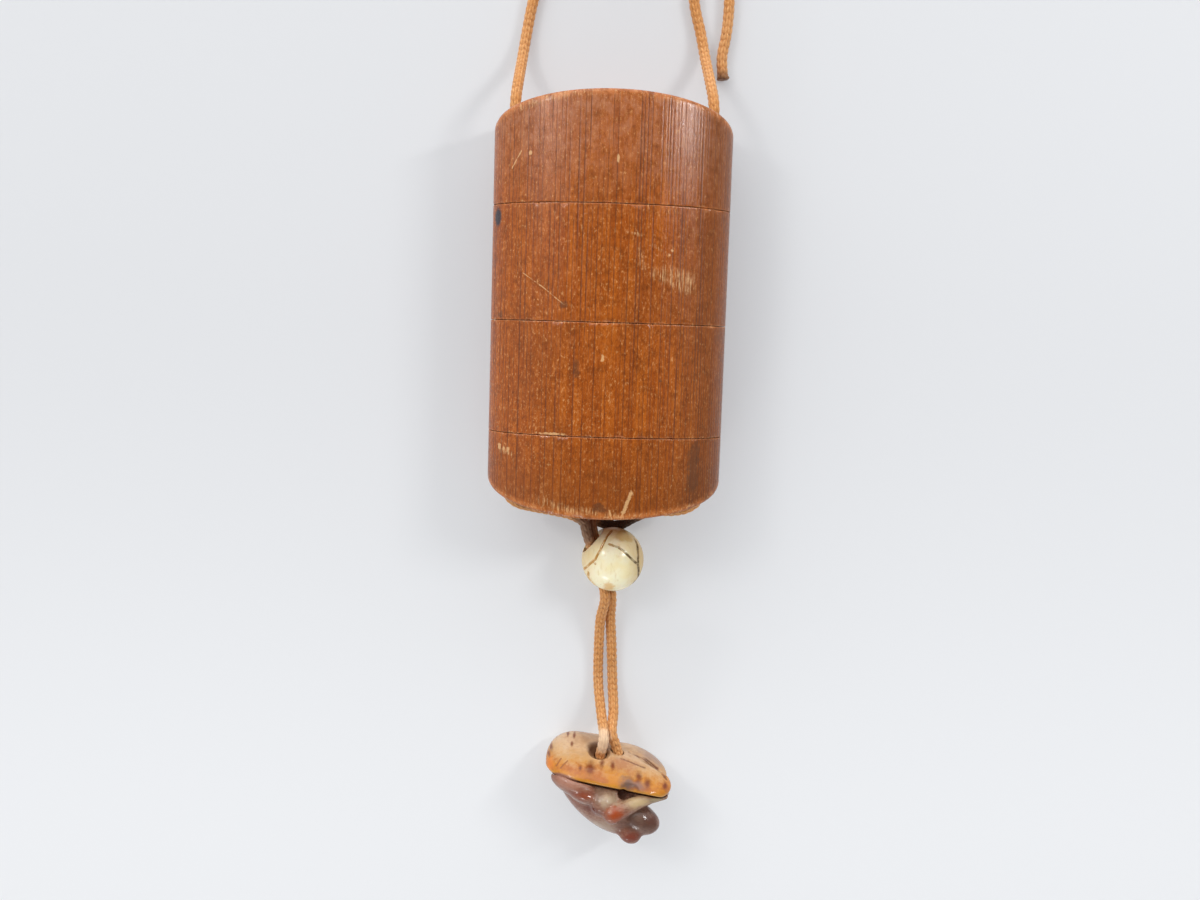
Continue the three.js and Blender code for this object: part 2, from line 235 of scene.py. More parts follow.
def make_cord():
    """The braided cord, tail to tail, as one tube with its braid in relief."""
    route = [*RIGHT_TAIL, *reversed(knot_strand(-1)), *MAIN_RUN, *knot_strand(1), *LEFT_TAIL]
    centres, length = smooth_line(route, CORD_STEP)
    heading = np.gradient(centres, axis=0)
    heading /= np.linalg.norm(heading, axis=1)[:, None]
    side = np.zeros_like(heading)
    side[0] = np.cross(heading[0], (0, 0, 1))
    for i in range(1, len(heading)):
        carried = side[i - 1] - heading[i] * side[i - 1].dot(heading[i])
        side[i] = carried / np.linalg.norm(carried)
    up = np.cross(side, heading)
    angles = np.linspace(0, 2 * math.pi, CORD_SIDES, endpoint=False)
    along = np.arange(len(centres)) * (length / (len(centres) - 1))
    height = braid_height(angles[None, :], along[:, None])
    radius = CORD_RADIUS + BRAID_DEPTH * (height - BRAID_MIDDLE)
    for end, inwards in ((0, 1), (-1, -1)):
        for ring, spread in enumerate(FRAYED_RINGS):
            radius[end + inwards * ring] *= spread + FRAY_DEPTH * np.sin(angles * FRAY_TUFTS + ring)
    ring_x = (radius * np.cos(angles))[..., None] * side[:, None]
    ring_z = (radius * np.sin(angles))[..., None] * up[:, None]
    corners = (centres[:, None] + ring_x + ring_z).reshape(-1, 3)
    corners[:, 2] = np.maximum(corners[:, 2], 0.01)
    ring_start = np.arange(len(centres) - 1)[:, None] * CORD_SIDES
    first = ring_start + np.arange(CORD_SIDES)
    second = ring_start + np.roll(np.arange(CORD_SIDES), -1)
    quads = np.stack([first, second, second + CORD_SIDES, first + CORD_SIDES], -1).reshape(-1, 4)
    triangles = np.vstack([quads[:, [0, 1, 2]], quads[:, [0, 2, 3]]])
    caps = []
    for ring, turn in ((0, -1), (len(centres) - 1, 1)):
        middle = len(corners)
        corners = np.vstack([corners, centres[ring] - heading[ring] * turn * END_DOME])
        rim = ring * CORD_SIDES + np.arange(CORD_SIDES)
        fan = np.stack([rim, np.roll(rim, -1), np.full(CORD_SIDES, middle)], 1)
        caps.append(fan if turn > 0 else fan[:, ::-1])
    faces = np.vstack([triangles, *caps])
    fields = {
        "height": np.concatenate([height.ravel(), [0.3, 0.3]]),
        "around": np.concatenate([np.broadcast_to(angles, height.shape).ravel(), [0, 0]]),
        "along": np.concatenate([np.repeat(along, CORD_SIDES), [0, length]]),
    }
    return mesh_object("braided_cord", corners, faces, fields), centres, length


make_camera()
cord, cord_centres, cord_length = make_cord()


# --- Cases and lid ----------------------------------------------------------------------------------
SKIN_COLUMNS = 960
SKIN_ROWS = 30
EDGE_ROUND = 0.8
SEAM_ROUND = 0.2
SEAM_CLOSING = 0.13  # how much of the frame's seam gap the wood takes up
GRAIN_SPACING = 0.92
GRAIN_DEPTH = 0.05
CHIPS = 16
CHIP_REACH = 0.6  # how far along the skin a chip at a seam reaches
SEAM_STEPS = (0.0, 0.05, 0.12, 0.2, 0.35, 0.6)
SEAM_WEAR = 0.35
CHIP_PALENESS = 3
OPEN_SKIN = 1.2  # how far from a seam the evenly spaced rows of skin begin
RIM_WEAR = 0.9
LIP = 0.15  # the softened inner edge of an opening
LIP_DEPTH = 0.2
RISER_LENGTH = 4.3
PAST_RISER, PAST_SEAM, PAST_TIP = 9, 5, 4  # how far a channel's cutter stands out at each kind of end
CUTTER_SIDES = 40


def section_steps():
    """Angles that step evenly round the section, how far round each lies, and the full girth."""
    dense = np.linspace(0, 2 * math.pi, 20001)
    steps = np.hypot(HALF_WIDTH * np.diff(np.cos(dense)), HALF_DEPTH * np.diff(np.sin(dense)))
    way = np.concatenate([[0], np.cumsum(steps)])
    even = np.linspace(0, way[-1], SKIN_COLUMNS, endpoint=False)
    return np.interp(even, way, dense), even, way[-1]


ANGLES, ROUND, ROUND_LENGTH = section_steps()


def grain_lines():
    """The open lines of the grain: where round the section each lies, and how deep it is."""
    rng = np.random.default_rng(11)
    lines = []
    centre = 0.0
    while centre < ROUND_LENGTH - 0.4:
        closer = 0.78 if centre < ROUND_LENGTH * 0.2 else 1.0
        gap = GRAIN_SPACING * closer * rng.uniform(0.7, 1.3)
        lines.append((centre, rng.uniform(0.55, 1.0)))
        for share in np.arange(1, rng.integers(2, 4)) / 3:
            lines.append((centre + gap * (share + rng.uniform(-0.1, 0.1)), rng.uniform(0.1, 0.34)))
        centre += gap
    return rng, lines


def grain_relief(place_y):
    """How deep the grain's open lines are, 0 to 1, for rows of skin corners at these places."""
    rng, lines = grain_lines()
    relief = np.zeros_like(place_y)
    for centre, depth in lines:
        phase, swell = rng.uniform(0, 2 * math.pi, 2)
        width = rng.uniform(0.11, 0.16)
        sway = rng.uniform(0.0, 0.12) * np.sin(place_y / rng.uniform(16, 40) + phase)
        fade = np.clip(0.8 + 0.4 * np.sin(place_y / rng.uniform(5, 17) + swell), 0, 1)
        off = (ROUND[None, :] - centre - sway + ROUND_LENGTH / 2) % ROUND_LENGTH - ROUND_LENGTH / 2
        relief = np.maximum(relief, depth * fade * np.exp(-((off / width) ** 2)))
    return relief


def edge_chips(seed):
    """How far small chips bite into one edge, in millimetres, at each column."""
    rng = np.random.default_rng(seed)
    bite = np.zeros(SKIN_COLUMNS)
    for _ in range(CHIPS):
        centre = rng.uniform(0, ROUND_LENGTH)
        half = rng.uniform(0.3, 1.6)
        off = (ROUND - centre + ROUND_LENGTH / 2) % ROUND_LENGTH - ROUND_LENGTH / 2
        depth = rng.uniform(0.08, 0.34)
        bite = np.maximum(bite, depth * np.clip(1 - np.abs(off / half) ** 3, 0, 1))
    return bite


def oval(half, y):
    """One ring of corners on an ellipse of these half sizes, at one place along the stack."""
    width, depth = half
    place_y = np.full(SKIN_COLUMNS, float(y))
    return np.stack([width * np.cos(ANGLES), place_y, AXIS_Z + depth * np.sin(ANGLES)], 1)


def grown(half, by):
    """An ellipse's half sizes, larger by this much."""
    return half[0] + by, half[1] + by


def outward():
    """The way out of the skin at each column."""
    level = np.zeros(SKIN_COLUMNS)
    way = np.stack([np.cos(ANGLES) / HALF_WIDTH, level, np.sin(ANGLES) / HALF_DEPTH], 1)
    return way / np.linalg.norm(way, axis=1)[:, None]


def skin_rings(places, inset, edge):
    """Rings of the outside at places along the stack (rows by columns), with their grain."""
    grain = grain_relief(places)
    sunk = inset + GRAIN_DEPTH * grain
    rows = np.repeat(oval((HALF_WIDTH, HALF_DEPTH), 0)[None], len(places), 0)
    rows[..., 1] = places
    rows -= outward()[None] * sunk[..., None]
    return rows, grain, np.broadcast_to(edge, places.shape)


def sweep(name, skin, before=(), after=()):
    """A closed piece through plain rings, a skin's rings and plain rings again, with closed ends."""
    rings, grain, edge = skin
    rings = [*before, *rings, *after]
    corners = np.concatenate(rings)
    corners[:, 2] = np.maximum(corners[:, 2], 0.0)
    count = len(rings)
    here = np.arange(SKIN_COLUMNS)
    beside = np.roll(here, -1)
    level = (np.arange(count - 1) * SKIN_COLUMNS)[:, None]
    low_here, low_beside = level + here, level + beside
    quads = np.stack([low_here, low_beside, low_beside + SKIN_COLUMNS, low_here + SKIN_COLUMNS], -1)
    quads = quads.reshape(-1, 4)
    faces = np.vstack([quads[:, [0, 1, 2]], quads[:, [0, 2, 3]]])
    middles = [rings[0].mean(0), rings[-1].mean(0)]
    corners = np.vstack([corners, middles])
    last = (count - 1) * SKIN_COLUMNS
    near = np.stack([beside, here, np.full_like(here, count * SKIN_COLUMNS)], 1)
    far = np.stack([last + here, last + beside, np.full_like(here, count * SKIN_COLUMNS + 1)], 1)
    faces = np.vstack([faces, near, far])
    a, b, c = (corners[faces[:, i]] for i in range(3))
    if np.einsum("ij,ij->", a, np.cross(b, c)) < 0:
        faces = faces[:, ::-1]
    none_before = np.zeros(len(before) * SKIN_COLUMNS)
    none_after = np.zeros(len(after) * SKIN_COLUMNS + len(middles))
    fields = {
        field: np.concatenate([none_before, *values, none_after])
        for field, values in (("grain", grain), ("edge", edge))
    }
    return mesh_object(name, corners, faces, fields)


def seam_profile():
    """Steps along the skin from a seam: how far each is drawn in, how worn and how chipped it is."""
    steps = np.array(SEAM_STEPS)
    drawn_in = SEAM_ROUND * (1 - np.sqrt(np.clip(1 - (1 - steps / SEAM_ROUND).clip(0) ** 2, 0, 1)))
    wear = 0.5 * np.clip(1 - steps / SEAM_WEAR, 0, 1)
    bite = np.clip(1 - steps / CHIP_REACH, 0, 1)
    return steps, drawn_in, wear, bite


def flat_ended_skin(low, high, seeds):
    """The outside of a piece between two seams."""
    steps, drawn_in, wear, bite = seam_profile()
    inner = np.linspace(low + OPEN_SKIN, high - OPEN_SKIN, SKIN_ROWS)
    places = np.concatenate([low + steps, inner, high - steps[::-1]])
    none = np.zeros(SKIN_ROWS)
    far = np.zeros(len(steps))
    chips = np.concatenate([bite, none, far])[:, None] * edge_chips(seeds[0])
    chips = chips + np.concatenate([far, none, bite[::-1]])[:, None] * edge_chips(seeds[1])
    inset = np.concatenate([drawn_in, none, drawn_in[::-1]])[:, None] + chips
    edge = np.concatenate([wear, none, wear[::-1]])[:, None] + chips * CHIP_PALENESS
    rows = np.repeat(places[:, None], SKIN_COLUMNS, 1)
    rings, grain, edge = skin_rings(rows, inset, np.clip(edge, 0, 1))
    grain[:2] = grain[-2:] = 1.0
    return rings, grain, edge


def arch_drop(x, rise):
    """How far the arched end falls away at this distance from its middle."""
    return rise * (1 - np.sqrt(np.clip(1 - (x / HALF_WIDTH) ** 2, 0, 1)))


def arched_skin(seam, tip, rise, seeds):
    """The outside of an end piece: its skin from the seam, the worn rim and the arched end."""
    way = math.copysign(1, tip)
    length = abs(tip - seam)
    across = HALF_WIDTH * np.cos(ANGLES)
    steps, drawn_in, wear, bite = seam_profile()
    straight = length - EDGE_ROUND - arch_drop(across, rise)
    share = np.linspace(0, 1, SKIN_ROWS + 1)[1:, None]
    run = steps[-1] + share * (straight - steps[-1])
    places = np.concatenate([np.repeat(steps[:, None], SKIN_COLUMNS, 1), run])
    none = np.zeros(SKIN_ROWS)
    chips = np.concatenate([bite, none])[:, None] * edge_chips(seeds[0])
    inset = np.concatenate([drawn_in, none])[:, None] + chips
    to_rim = (straight[None] - places) / RIM_WEAR
    edge = np.clip(np.concatenate([wear, none])[:, None] + chips * CHIP_PALENESS, 0, 1)
    edge = np.maximum(edge, np.clip(1 - to_rim, 0, 1) * 0.6)
    rows, grain, edge = skin_rings(seam + way * places, inset, edge)
    grain[:2] = 1.0
    rim_grain = grain[-1]
    rings, grains, edges = list(rows), list(grain), list(edge)
    rim_bite = edge_chips(seeds[1])
    for turn in np.linspace(0, math.pi / 2, 9)[1:]:
        drawn = EDGE_ROUND * (1 - math.cos(turn)) + rim_bite * math.sin(2 * turn)
        shrink = 1 - drawn / HALF_WIDTH
        ring = oval((HALF_WIDTH * shrink, HALF_DEPTH * shrink), 0)
        ring -= outward() * (GRAIN_DEPTH * rim_grain * math.cos(turn))[:, None]
        fall = arch_drop(ring[:, 0], rise) + EDGE_ROUND * (1 - math.sin(turn))
        ring[:, 1] = seam + way * (length - fall - rim_bite * math.sin(2 * turn) * 0.4)
        rings.append(ring)
        grains.append(rim_grain * math.cos(turn))
        edges.append(np.full(SKIN_COLUMNS, 0.8 - 0.4 * math.sin(turn)))
    start = 1 - EDGE_ROUND / HALF_WIDTH
    for share_in in 1 - np.linspace(0, 1, 16)[1:-1] ** 1.7:
        ring = oval((HALF_WIDTH * start * share_in, HALF_DEPTH * start * share_in), 0)
        ring[:, 1] = seam + way * (length - arch_drop(ring[:, 0], rise))
        rings.append(ring)
        grains.append(np.zeros(SKIN_COLUMNS))
        edges.append(np.full(SKIN_COLUMNS, 0.5 * max(0.0, share_in * 8 - 7.2)))
    return rings, grains, edges


def channel_cutter(name, x, low, high, flares):
    """A rod that bores one cord channel, opening out where it meets an arched end."""
    widening = FLARE_RADIUS - CHANNEL_RADIUS
    stations = [(low, CHANNEL_RADIUS), (high, CHANNEL_RADIUS)]
    for mouth in flares:
        way = math.copysign(1, mouth)
        flare = [
            (mouth - way * FLARE_DEPTH * (1 - t), CHANNEL_RADIUS + widening * t**1.6)
            for t in (0, 0.25, 0.5, 0.75, 1, 1.35, 2)
        ]
        stations = [s for s in stations if (s[0] - mouth) * way < -FLARE_DEPTH] + flare
    stations.sort()
    sides = CUTTER_SIDES
    turn = np.linspace(0, 2 * math.pi, sides, endpoint=False)
    rings = [
        np.stack([x + r * np.cos(turn), np.full(sides, y), AXIS_Z + r * np.sin(turn)], 1)
        for y, r in stations
    ]
    corners = np.vstack([*rings, [[x, stations[0][0], AXIS_Z]], [[x, stations[-1][0], AXIS_Z]]])
    here, beside = np.arange(sides), np.roll(np.arange(sides), -1)
    faces = []
    for level in range(len(rings) - 1):
        a, b = level * sides + here, level * sides + beside
        faces += [np.stack([a, a + sides, b + sides], 1), np.stack([a, b + sides, b], 1)]
    last = (len(rings) - 1) * sides
    faces.append(np.stack([here, beside, np.full(sides, len(rings) * sides)], 1))
    faces.append(np.stack([last + beside, last + here, np.full(sides, len(rings) * sides + 1)], 1))
    return mesh_object(name, corners, np.vstack(faces))


def bore_channels(made, low, high, flares=()):
    """Takes both cord channels out of a case."""
    for x in (-CHANNEL_X, CHANNEL_X):
        cutter = channel_cutter("channel_cutter", x, low, high, flares)
        cut = made.modifiers.new("channel", "BOOLEAN")
        cut.operation = "DIFFERENCE"
        cut.solver = "MANIFOLD"
        cut.object = cutter
        shaped = made.evaluated_get(bpy.context.evaluated_depsgraph_get())
        carved = bpy.data.meshes.new_from_object(shaped)
        made.modifiers.clear()
        made.data = carved
        bpy.data.objects.remove(cutter)
    made.data.shade_smooth()
    return made


def piece_span(node):
    """Where a case's own wall starts and ends along the stack, in millimetres."""
    low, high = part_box(node)
    return low.y / MM, high.y / MM


BASE_LOW, TIP = piece_span("base_case")
LOWER_LOW, LOWER_HIGH = piece_span("lower_case")
UPPER_LOW, UPPER_HIGH = piece_span("upper_case")
LID_TIP, LID_HIGH = piece_span("lid")


def mouth_of(tip, rise):
    """Where a cord channel comes out of an arched end."""
    return tip - math.copysign(float(arch_drop(CHANNEL_X, rise)), tip)


def riser_rings(floor, end, seam):
    """The inside of an open case from its floor, round its rim and down the riser to the seam."""
    return [
        oval(CAVITY_HALF, floor), oval(CAVITY_HALF, end + LIP), oval(grown(CAVITY_HALF, LIP), end),
        oval(grown(RISER_HALF, -LIP_DEPTH), end), oval(RISER_HALF, end + LIP_DEPTH),
        oval(RISER_HALF, seam),
    ]


def socket_rings(mouth, floor):
    """The socket that takes the next piece's riser, from its mouth to its floor."""
    return [
        oval(grown(SOCKET_HALF, LIP), mouth), oval(SOCKET_HALF, mouth - LIP_DEPTH),
        oval(SOCKET_HALF, floor),
    ]


def make_base_case():
    """The closed bottom case."""
    seam = BASE_LOW + RISER_LENGTH - SEAM_CLOSING
    skin = arched_skin(seam, TIP, BASE_RISE, (21, 22))
    made = sweep("base_case_wood", skin, riser_rings(TIP - END_WALL, BASE_LOW, seam))
    return bore_channels(made, seam - PAST_RISER, TIP + PAST_TIP, [mouth_of(TIP, BASE_RISE)])


def make_middle_case(name, riser_end, high, seeds):
    """A case between two others: a riser at its open side, a socket behind its floor."""
    low = riser_end + RISER_LENGTH - SEAM_CLOSING
    socket_floor = high - SOCKET_DEPTH
    skin = flat_ended_skin(low, high, seeds)
    inside = riser_rings(socket_floor - FLOOR, riser_end, low)
    made = sweep(name, skin, inside, socket_rings(high, socket_floor))
    return bore_channels(made, low - PAST_RISER, high + PAST_SEAM)


def make_lid():
    """The lid, which lifts off the case below it."""
    inside = socket_rings(LID_HIGH, LID_TIP + END_WALL)[::-1]
    made = sweep("lid_wood", arched_skin(LID_HIGH, LID_TIP, LID_RISE, (27, 28)), inside)
    return bore_channels(made, LID_TIP - PAST_TIP, LID_HIGH + PAST_SEAM, [mouth_of(LID_TIP, LID_RISE)])


# --- Shapes carved from fields ----------------------------------------------------------------------
def grid(low, high, cell):
    """Sample places from one corner to another, as three broadcasting axes and the low corner."""
    axes = [np.arange(a, b + cell, cell, dtype=np.float32) for a, b in zip(low, high)]
    return axes[0][:, None, None], axes[1][None, :, None], axes[2][None, None, :], np.array(low)


def join(a, b, soft):
    """Two shapes as one, with a fillet of this size where they meet."""
    share = np.clip(0.5 + 0.5 * (b - a) / soft, 0, 1)
    return b * (1 - share) + a * share - soft * share * (1 - share)


def cut(a, b, soft):
    """The first shape less the second, with its edge softened by this much."""
    return -join(-a, b, soft)


def turned(degrees, axis):
    return np.array(Matrix.Rotation(math.radians(degrees), 3, axis))


def egg(place, centre, half, turn=None):
    """Distance outside an ellipsoid, turned about its centre."""
    off = [p - c for p, c in zip(place, centre)]
    if turn is not None:
        back = turn.T
        off = [back[i, 0] * off[0] + back[i, 1] * off[1] + back[i, 2] * off[2] for i in range(3)]
    scaled = np.sqrt(sum((o / h) ** 2 for o, h in zip(off, half)))
    steep = np.sqrt(sum((o / h**2) ** 2 for o, h in zip(off, half)))
    return scaled * (scaled - 1) / np.maximum(steep, 1e-6)


def rod(place, start, end, radius, end_radius=None):
    """Distance outside a round-ended rod, which may taper."""
    start, end = np.array(start, float), np.array(end, float)
    along = end - start
    off = [p - s for p, s in zip(place, start)]
    share = np.clip(sum(o * a for o, a in zip(off, along)) / along.dot(along), 0, 1)
    taper = 0 if end_radius is None else (end_radius - radius) * share
    return np.sqrt(sum((o - a * share) ** 2 for o, a in zip(off, along))) - radius - taper


def skin_of(field, low, cell):
    """Corners and triangles of the surface where a sampled field is zero."""
    sums = np.zeros((*(np.array(field.shape) - 1), 3))
    hits = np.zeros(np.array(field.shape) - 1)
    found = []
    for axis in range(3):
        head = [slice(None)] * 3
        tail = [slice(None)] * 3
        head[axis], tail[axis] = slice(None, -1), slice(1, None)
        before, after = field[tuple(head)], field[tuple(tail)]
        where = np.argwhere((before < 0) != (after < 0))
        value, beyond = before[tuple(where.T)], after[tuple(where.T)]
        point = where.astype(float)
        point[:, axis] += value / (value - beyond)
        one, two = (axis + 1) % 3, (axis + 2) % 3
        around = []
        for step_one, step_two in ((0, 0), (-1, 0), (-1, -1), (0, -1)):
            box = where.copy()
            box[:, one] += step_one
            box[:, two] += step_two
            np.add.at(sums, tuple(box.T), point)
            np.add.at(hits, tuple(box.T), 1)
            around.append(box)
        found.append((np.stack(around, 1), value < 0))
    used = hits > 0
    number = np.full(hits.shape, -1)
    number[used] = np.arange(used.sum())
    corners = np.array(low) + sums[used] / hits[used][:, None] * cell
    quads = []
    for around, leaving in found:
        index = number[tuple(around.reshape(-1, 3).T)].reshape(-1, 4)
        quads.append(np.where(leaving[:, None], index, index[:, ::-1]))
    quads = np.vstack(quads)
    return corners, np.vstack([quads[:, [0, 1, 2]], quads[:, [0, 2, 3]]])


# --- Bead -------------------------------------------------------------------------------------------
BEAD_CELL = 0.13
CRACK_STEP = 1.2  # the longest straight stretch of a crack
CRACK_STAIN = 2.3  # how many times as wide as a crack its stain is
# Drying cracks, as their width and how far across and along from the bead's middle they turn.
CRACKS = [
    (0.19, [(-0.5, 7), (-1.5, 6), (-4, 1), (-5, 0), (-6.5, -2)]),
    (0.16, [(-4.5, 0.5), (-4, 0)]),
    (0.17, [(-1, 4.5), (1, 4), (2.5, 3), (4, 1.5), (5.5, 0)]),
    (0.27, [(5, 5), (5.5, 4), (5.75, 2), (5.75, 0), (6, -2), (6, -3.5), (5, -5)]),
    (0.26, [(-5.5, -2.5), (-5.5, -4), (-4, -5.5), (-3, -6.5)]),
]


def on_bead(across, along):
    """A point on the bead's front."""
    a, b, c = BEAD_HALF
    shrink = min(1.0, 0.985 / max(1e-6, math.hypot(across / a, along / b)))
    across, along = across * shrink, along * shrink
    height = c * math.sqrt(max(0.0, 1 - (across / a) ** 2 - (along / b) ** 2))
    return tuple(m + o for m, o in zip(BEAD_CENTRE, (across, along, height)))


def make_bead():
    """The round bead, with its wide bore, softened lips and drying cracks."""
    reach = max(BEAD_HALF) + 4 * BEAD_CELL
    low = [c - reach for c in BEAD_CENTRE]
    high = [c + reach for c in BEAD_CENTRE]
    x, y, z, corner = grid(low, high, BEAD_CELL)
    place = (x, y, z)
    shape = egg(place, BEAD_CENTRE, BEAD_HALF)
    middle, way = np.array(BORE_POINT), np.array(BORE_DIRECTION)
    way = way / np.linalg.norm(way)
    shape = cut(shape, rod(place, middle - way * 14, middle + way * 14, BORE_RADIUS), 0.5)
    for width, crack in CRACKS:
        for start, end in zip(crack, crack[1:]):
            steps = max(1, int(math.dist(start, end) / CRACK_STEP))
            places = [
                on_bead(*(s + (e - s) * t / steps for s, e in zip(start, end)))
                for t in range(steps + 1)
            ]
            for one, two in zip(places, places[1:]):
                shape = cut(shape, rod(place, one, two, width), 0.08)
    shape = np.maximum(shape, 0.02 - z)
    corners, faces = skin_of(shape, corner, BEAD_CELL)
    return mesh_object("bone_bead", corners, faces)


# --- Netsuke ----------------------------------------------------------------------------------------
NETSUKE_CELL = 0.18
LEAF_LEAN = 40
# Lumps in the netsuke's own frame: x across, y up the leaf, z out of its front.
# Each is (centre, half sizes, lean about x, turn about z, fillet where it joins the rest).
LEAF_LUMPS = [
    ((-5.4, 6.2, 0.2), (9.3, 4.1, 9.2), LEAF_LEAN, 0, 0),
    ((-8.2, 8.1, -1.6), (6.1, 4.5, 5.8), LEAF_LEAN, 0, 1.0),
    ((0.6, 4.3, 2.0), (8.6, 3.5, 7.8), LEAF_LEAN, -8, 1.0),
    ((6.8, 1.8, 3.8), (7.9, 2.7, 6.0), LEAF_LEAN, -12, 0.8),
    ((6.2, 5.4, -1.6), (8.3, 3.1, 5.6), LEAF_LEAN, -24, 0.25),
]
BODY_LUMPS = [
    ((-2.0, -0.7, -1.6), (12.6, 6.7, 7.4), 0, -42, 0),
    ((-7.4, 0.5, 3.6), (6.4, 2.5, 4.4), 0, -24, 0.3),
    ((-5.6, -1.6, 3.6), (4.2, 1.9, 3.8), 0, -24, 0.25),
    ((-1.2, -3.2, 4.2), (3.0, 3.0, 3.2), 0, -50, 0.7),
    ((7.0, -6.5, 0.2), (4.8, 3.4, 4.0), 0, -38, 0.6),
    ((9.5, -7.4, 0.4), (2.4, 1.9, 2.4), 0, -30, 1.4),
    ((5.0, -10.3, 0.4), (2.5, 2.0, 2.2), 0, -20, 1.3),
    ((8.6, -0.6, 1.4), (5.6, 2.0, 4.4), 0, -6, 0.6),
]
# The foreleg, as a tapering rod from its knee to its foot below the leaf.
FORELEG = [
    ((0.9, -5.7, 5.0), (8.4, -2.5, 5.2), 2.25, 1.35),
    ((8.4, -2.5, 5.2), (12.9, -1.7, 4.2), 1.35, 0.9),
]
# The leaf's front rim falls straight from left to right and curls up at both ends.
RIM_MIDDLE = 0.2
RIM_FALL = 0.19
RIM_LEFT, RIM_LEFT_CURL = -10.5, 0.12
RIM_RIGHT, RIM_RIGHT_CURL = 12.0, 0.32
# Hollows in the leaf's edge, as their centre, half sizes and turn.
LEAF_HOLLOWS = [((4.9, -0.9, 9.8), (2.5, 2.3, 3.0), -24), ((9.9, 5.6, 1.6), (3.6, 0.45, 2.0), -38)]
RIM_GROOVE = 0.32  # how wide the undercut below the leaf's rim is
RIM_GROOVE_DEPTH = 1.1
TUNNEL_RADIUS = 1.4
MOUTH = ((3.3, -1.3, 10), (3.3, -1.4, 3.2), 1.1)
CORD_HOLE = ((1.2, -101.9, 9.9), (2.7, 2.5, 2.5))  # the larger hole, in the inro's own frame
# Carved lines, as their two ends and how deep they bite.
NETSUKE_CUTS = [
    ((9.0, 6.2, 0.9), (11.4, 4.5, 2.2), 0.45), ((11.4, 4.5, 2.2), (13.4, 2.2, 4.2), 0.5),
    ((5.0, 8.2, 0.7), (9.0, 6.2, 0.9), 0.3),
    ((-8.2, -3.0, 6.2), (-3.2, -4.6, 5.6), 0.3), ((4.0, 6.4, 4.2), (8.4, 4.4, 4.6), 0.14),
    ((-11.6, 0.2, 7.0), (-6.4, -1.6, 7.8), 0.22), ((3.4, -7.8, 5.0), (5.4, -5.0, 5.0), 0.35),
]


def netsuke_place():
    """Turns a point of the netsuke's own frame into the inro's."""
    return turned(NETSUKE_LEAN, "X") @ turned(NETSUKE_TURN, "Z"), np.array(NETSUKE_CENTRE)


def joined_lumps(own, lumps):
    """One smooth shape from several lumps."""
    shape = None
    for middle, half, lean, spin, fillet in lumps:
        lump = egg(own, middle, half, turned(spin, "Z") @ turned(lean, "X"))
        shape = lump if shape is None else join(shape, lump, fillet)
    return shape


def above_rim(own):
    """How far above the leaf's front rim a point lies."""
    across, up = own[0], own[1]
    left = RIM_LEFT_CURL * np.maximum(RIM_LEFT - across, 0) ** 2
    right = RIM_RIGHT_CURL * np.maximum(across - RIM_RIGHT, 0) ** 2
    return up - (RIM_MIDDLE - RIM_FALL * across + left + right)


def netsuke_forms(own):
    """The leaf and the animal below it, as two shapes."""
    leaf, body = joined_lumps(own, LEAF_LUMPS), joined_lumps(own, BODY_LUMPS)
    for start, end, radius, end_radius in FORELEG:
        body = join(body, rod(own, start, end, radius, end_radius), 0.6)
    leaf = cut(leaf, above_rim(own), 0.5)
    for centre, half, spin in LEAF_HOLLOWS:
        leaf = cut(leaf, egg(own, centre, half, turned(spin, "Z")), 0.5)
    return leaf, body


def make_netsuke():
    """The carved netsuke: an animal crouched under a curled leaf, bored for the cord."""
    low, high = (np.array(c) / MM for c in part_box("netsuke"))
    x, y, z, corner = grid(low - 0.8, high + 0.8, NETSUKE_CELL)
    turn, centre = netsuke_place()

    def own_place(place):
        off = [p - c for p, c in zip(place, centre)]
        return tuple(sum(turn[j, i] * off[j] for j in range(3)) for i in range(3))

    own = own_place((x, y, z))
    leaf, body = netsuke_forms(own)
    groove = np.maximum(leaf - RIM_GROOVE, -(body + RIM_GROOVE_DEPTH))
    shape = join(leaf, cut(body, groove, 0.15), 0.12)
    shape = cut(shape, rod(own, *MOUTH), 0.25)
    for start, end, width in NETSUKE_CUTS:
        shape = cut(shape, rod(own, start, end, width), 0.2)
    place = (x, y, z)
    shape = cut(shape, egg(place, *CORD_HOLE), 0.4)
    inside = [i for i, point in enumerate(MAIN_RUN) if point[1] < -98]
    tunnel, _ = smooth_line(MAIN_RUN[inside[0] - 1 : inside[-1] + 2], 0.6)
    for start, end in zip(tunnel, tunnel[1:]):
        shape = cut(shape, rod(place, start, end, TUNNEL_RADIUS), 0.15)
    shape = np.maximum(shape, 0.01 - z)
    corners, faces = skin_of(shape, corner, NETSUKE_CELL)
    own = own_place(corners.T)
    leaf, body = netsuke_forms(own)
    fields = {"leaf": np.clip(0.5 + (body - leaf) / 0.3, 0, 1), "rim": above_rim(own)}
    return mesh_object("carved_netsuke", corners, faces, fields)


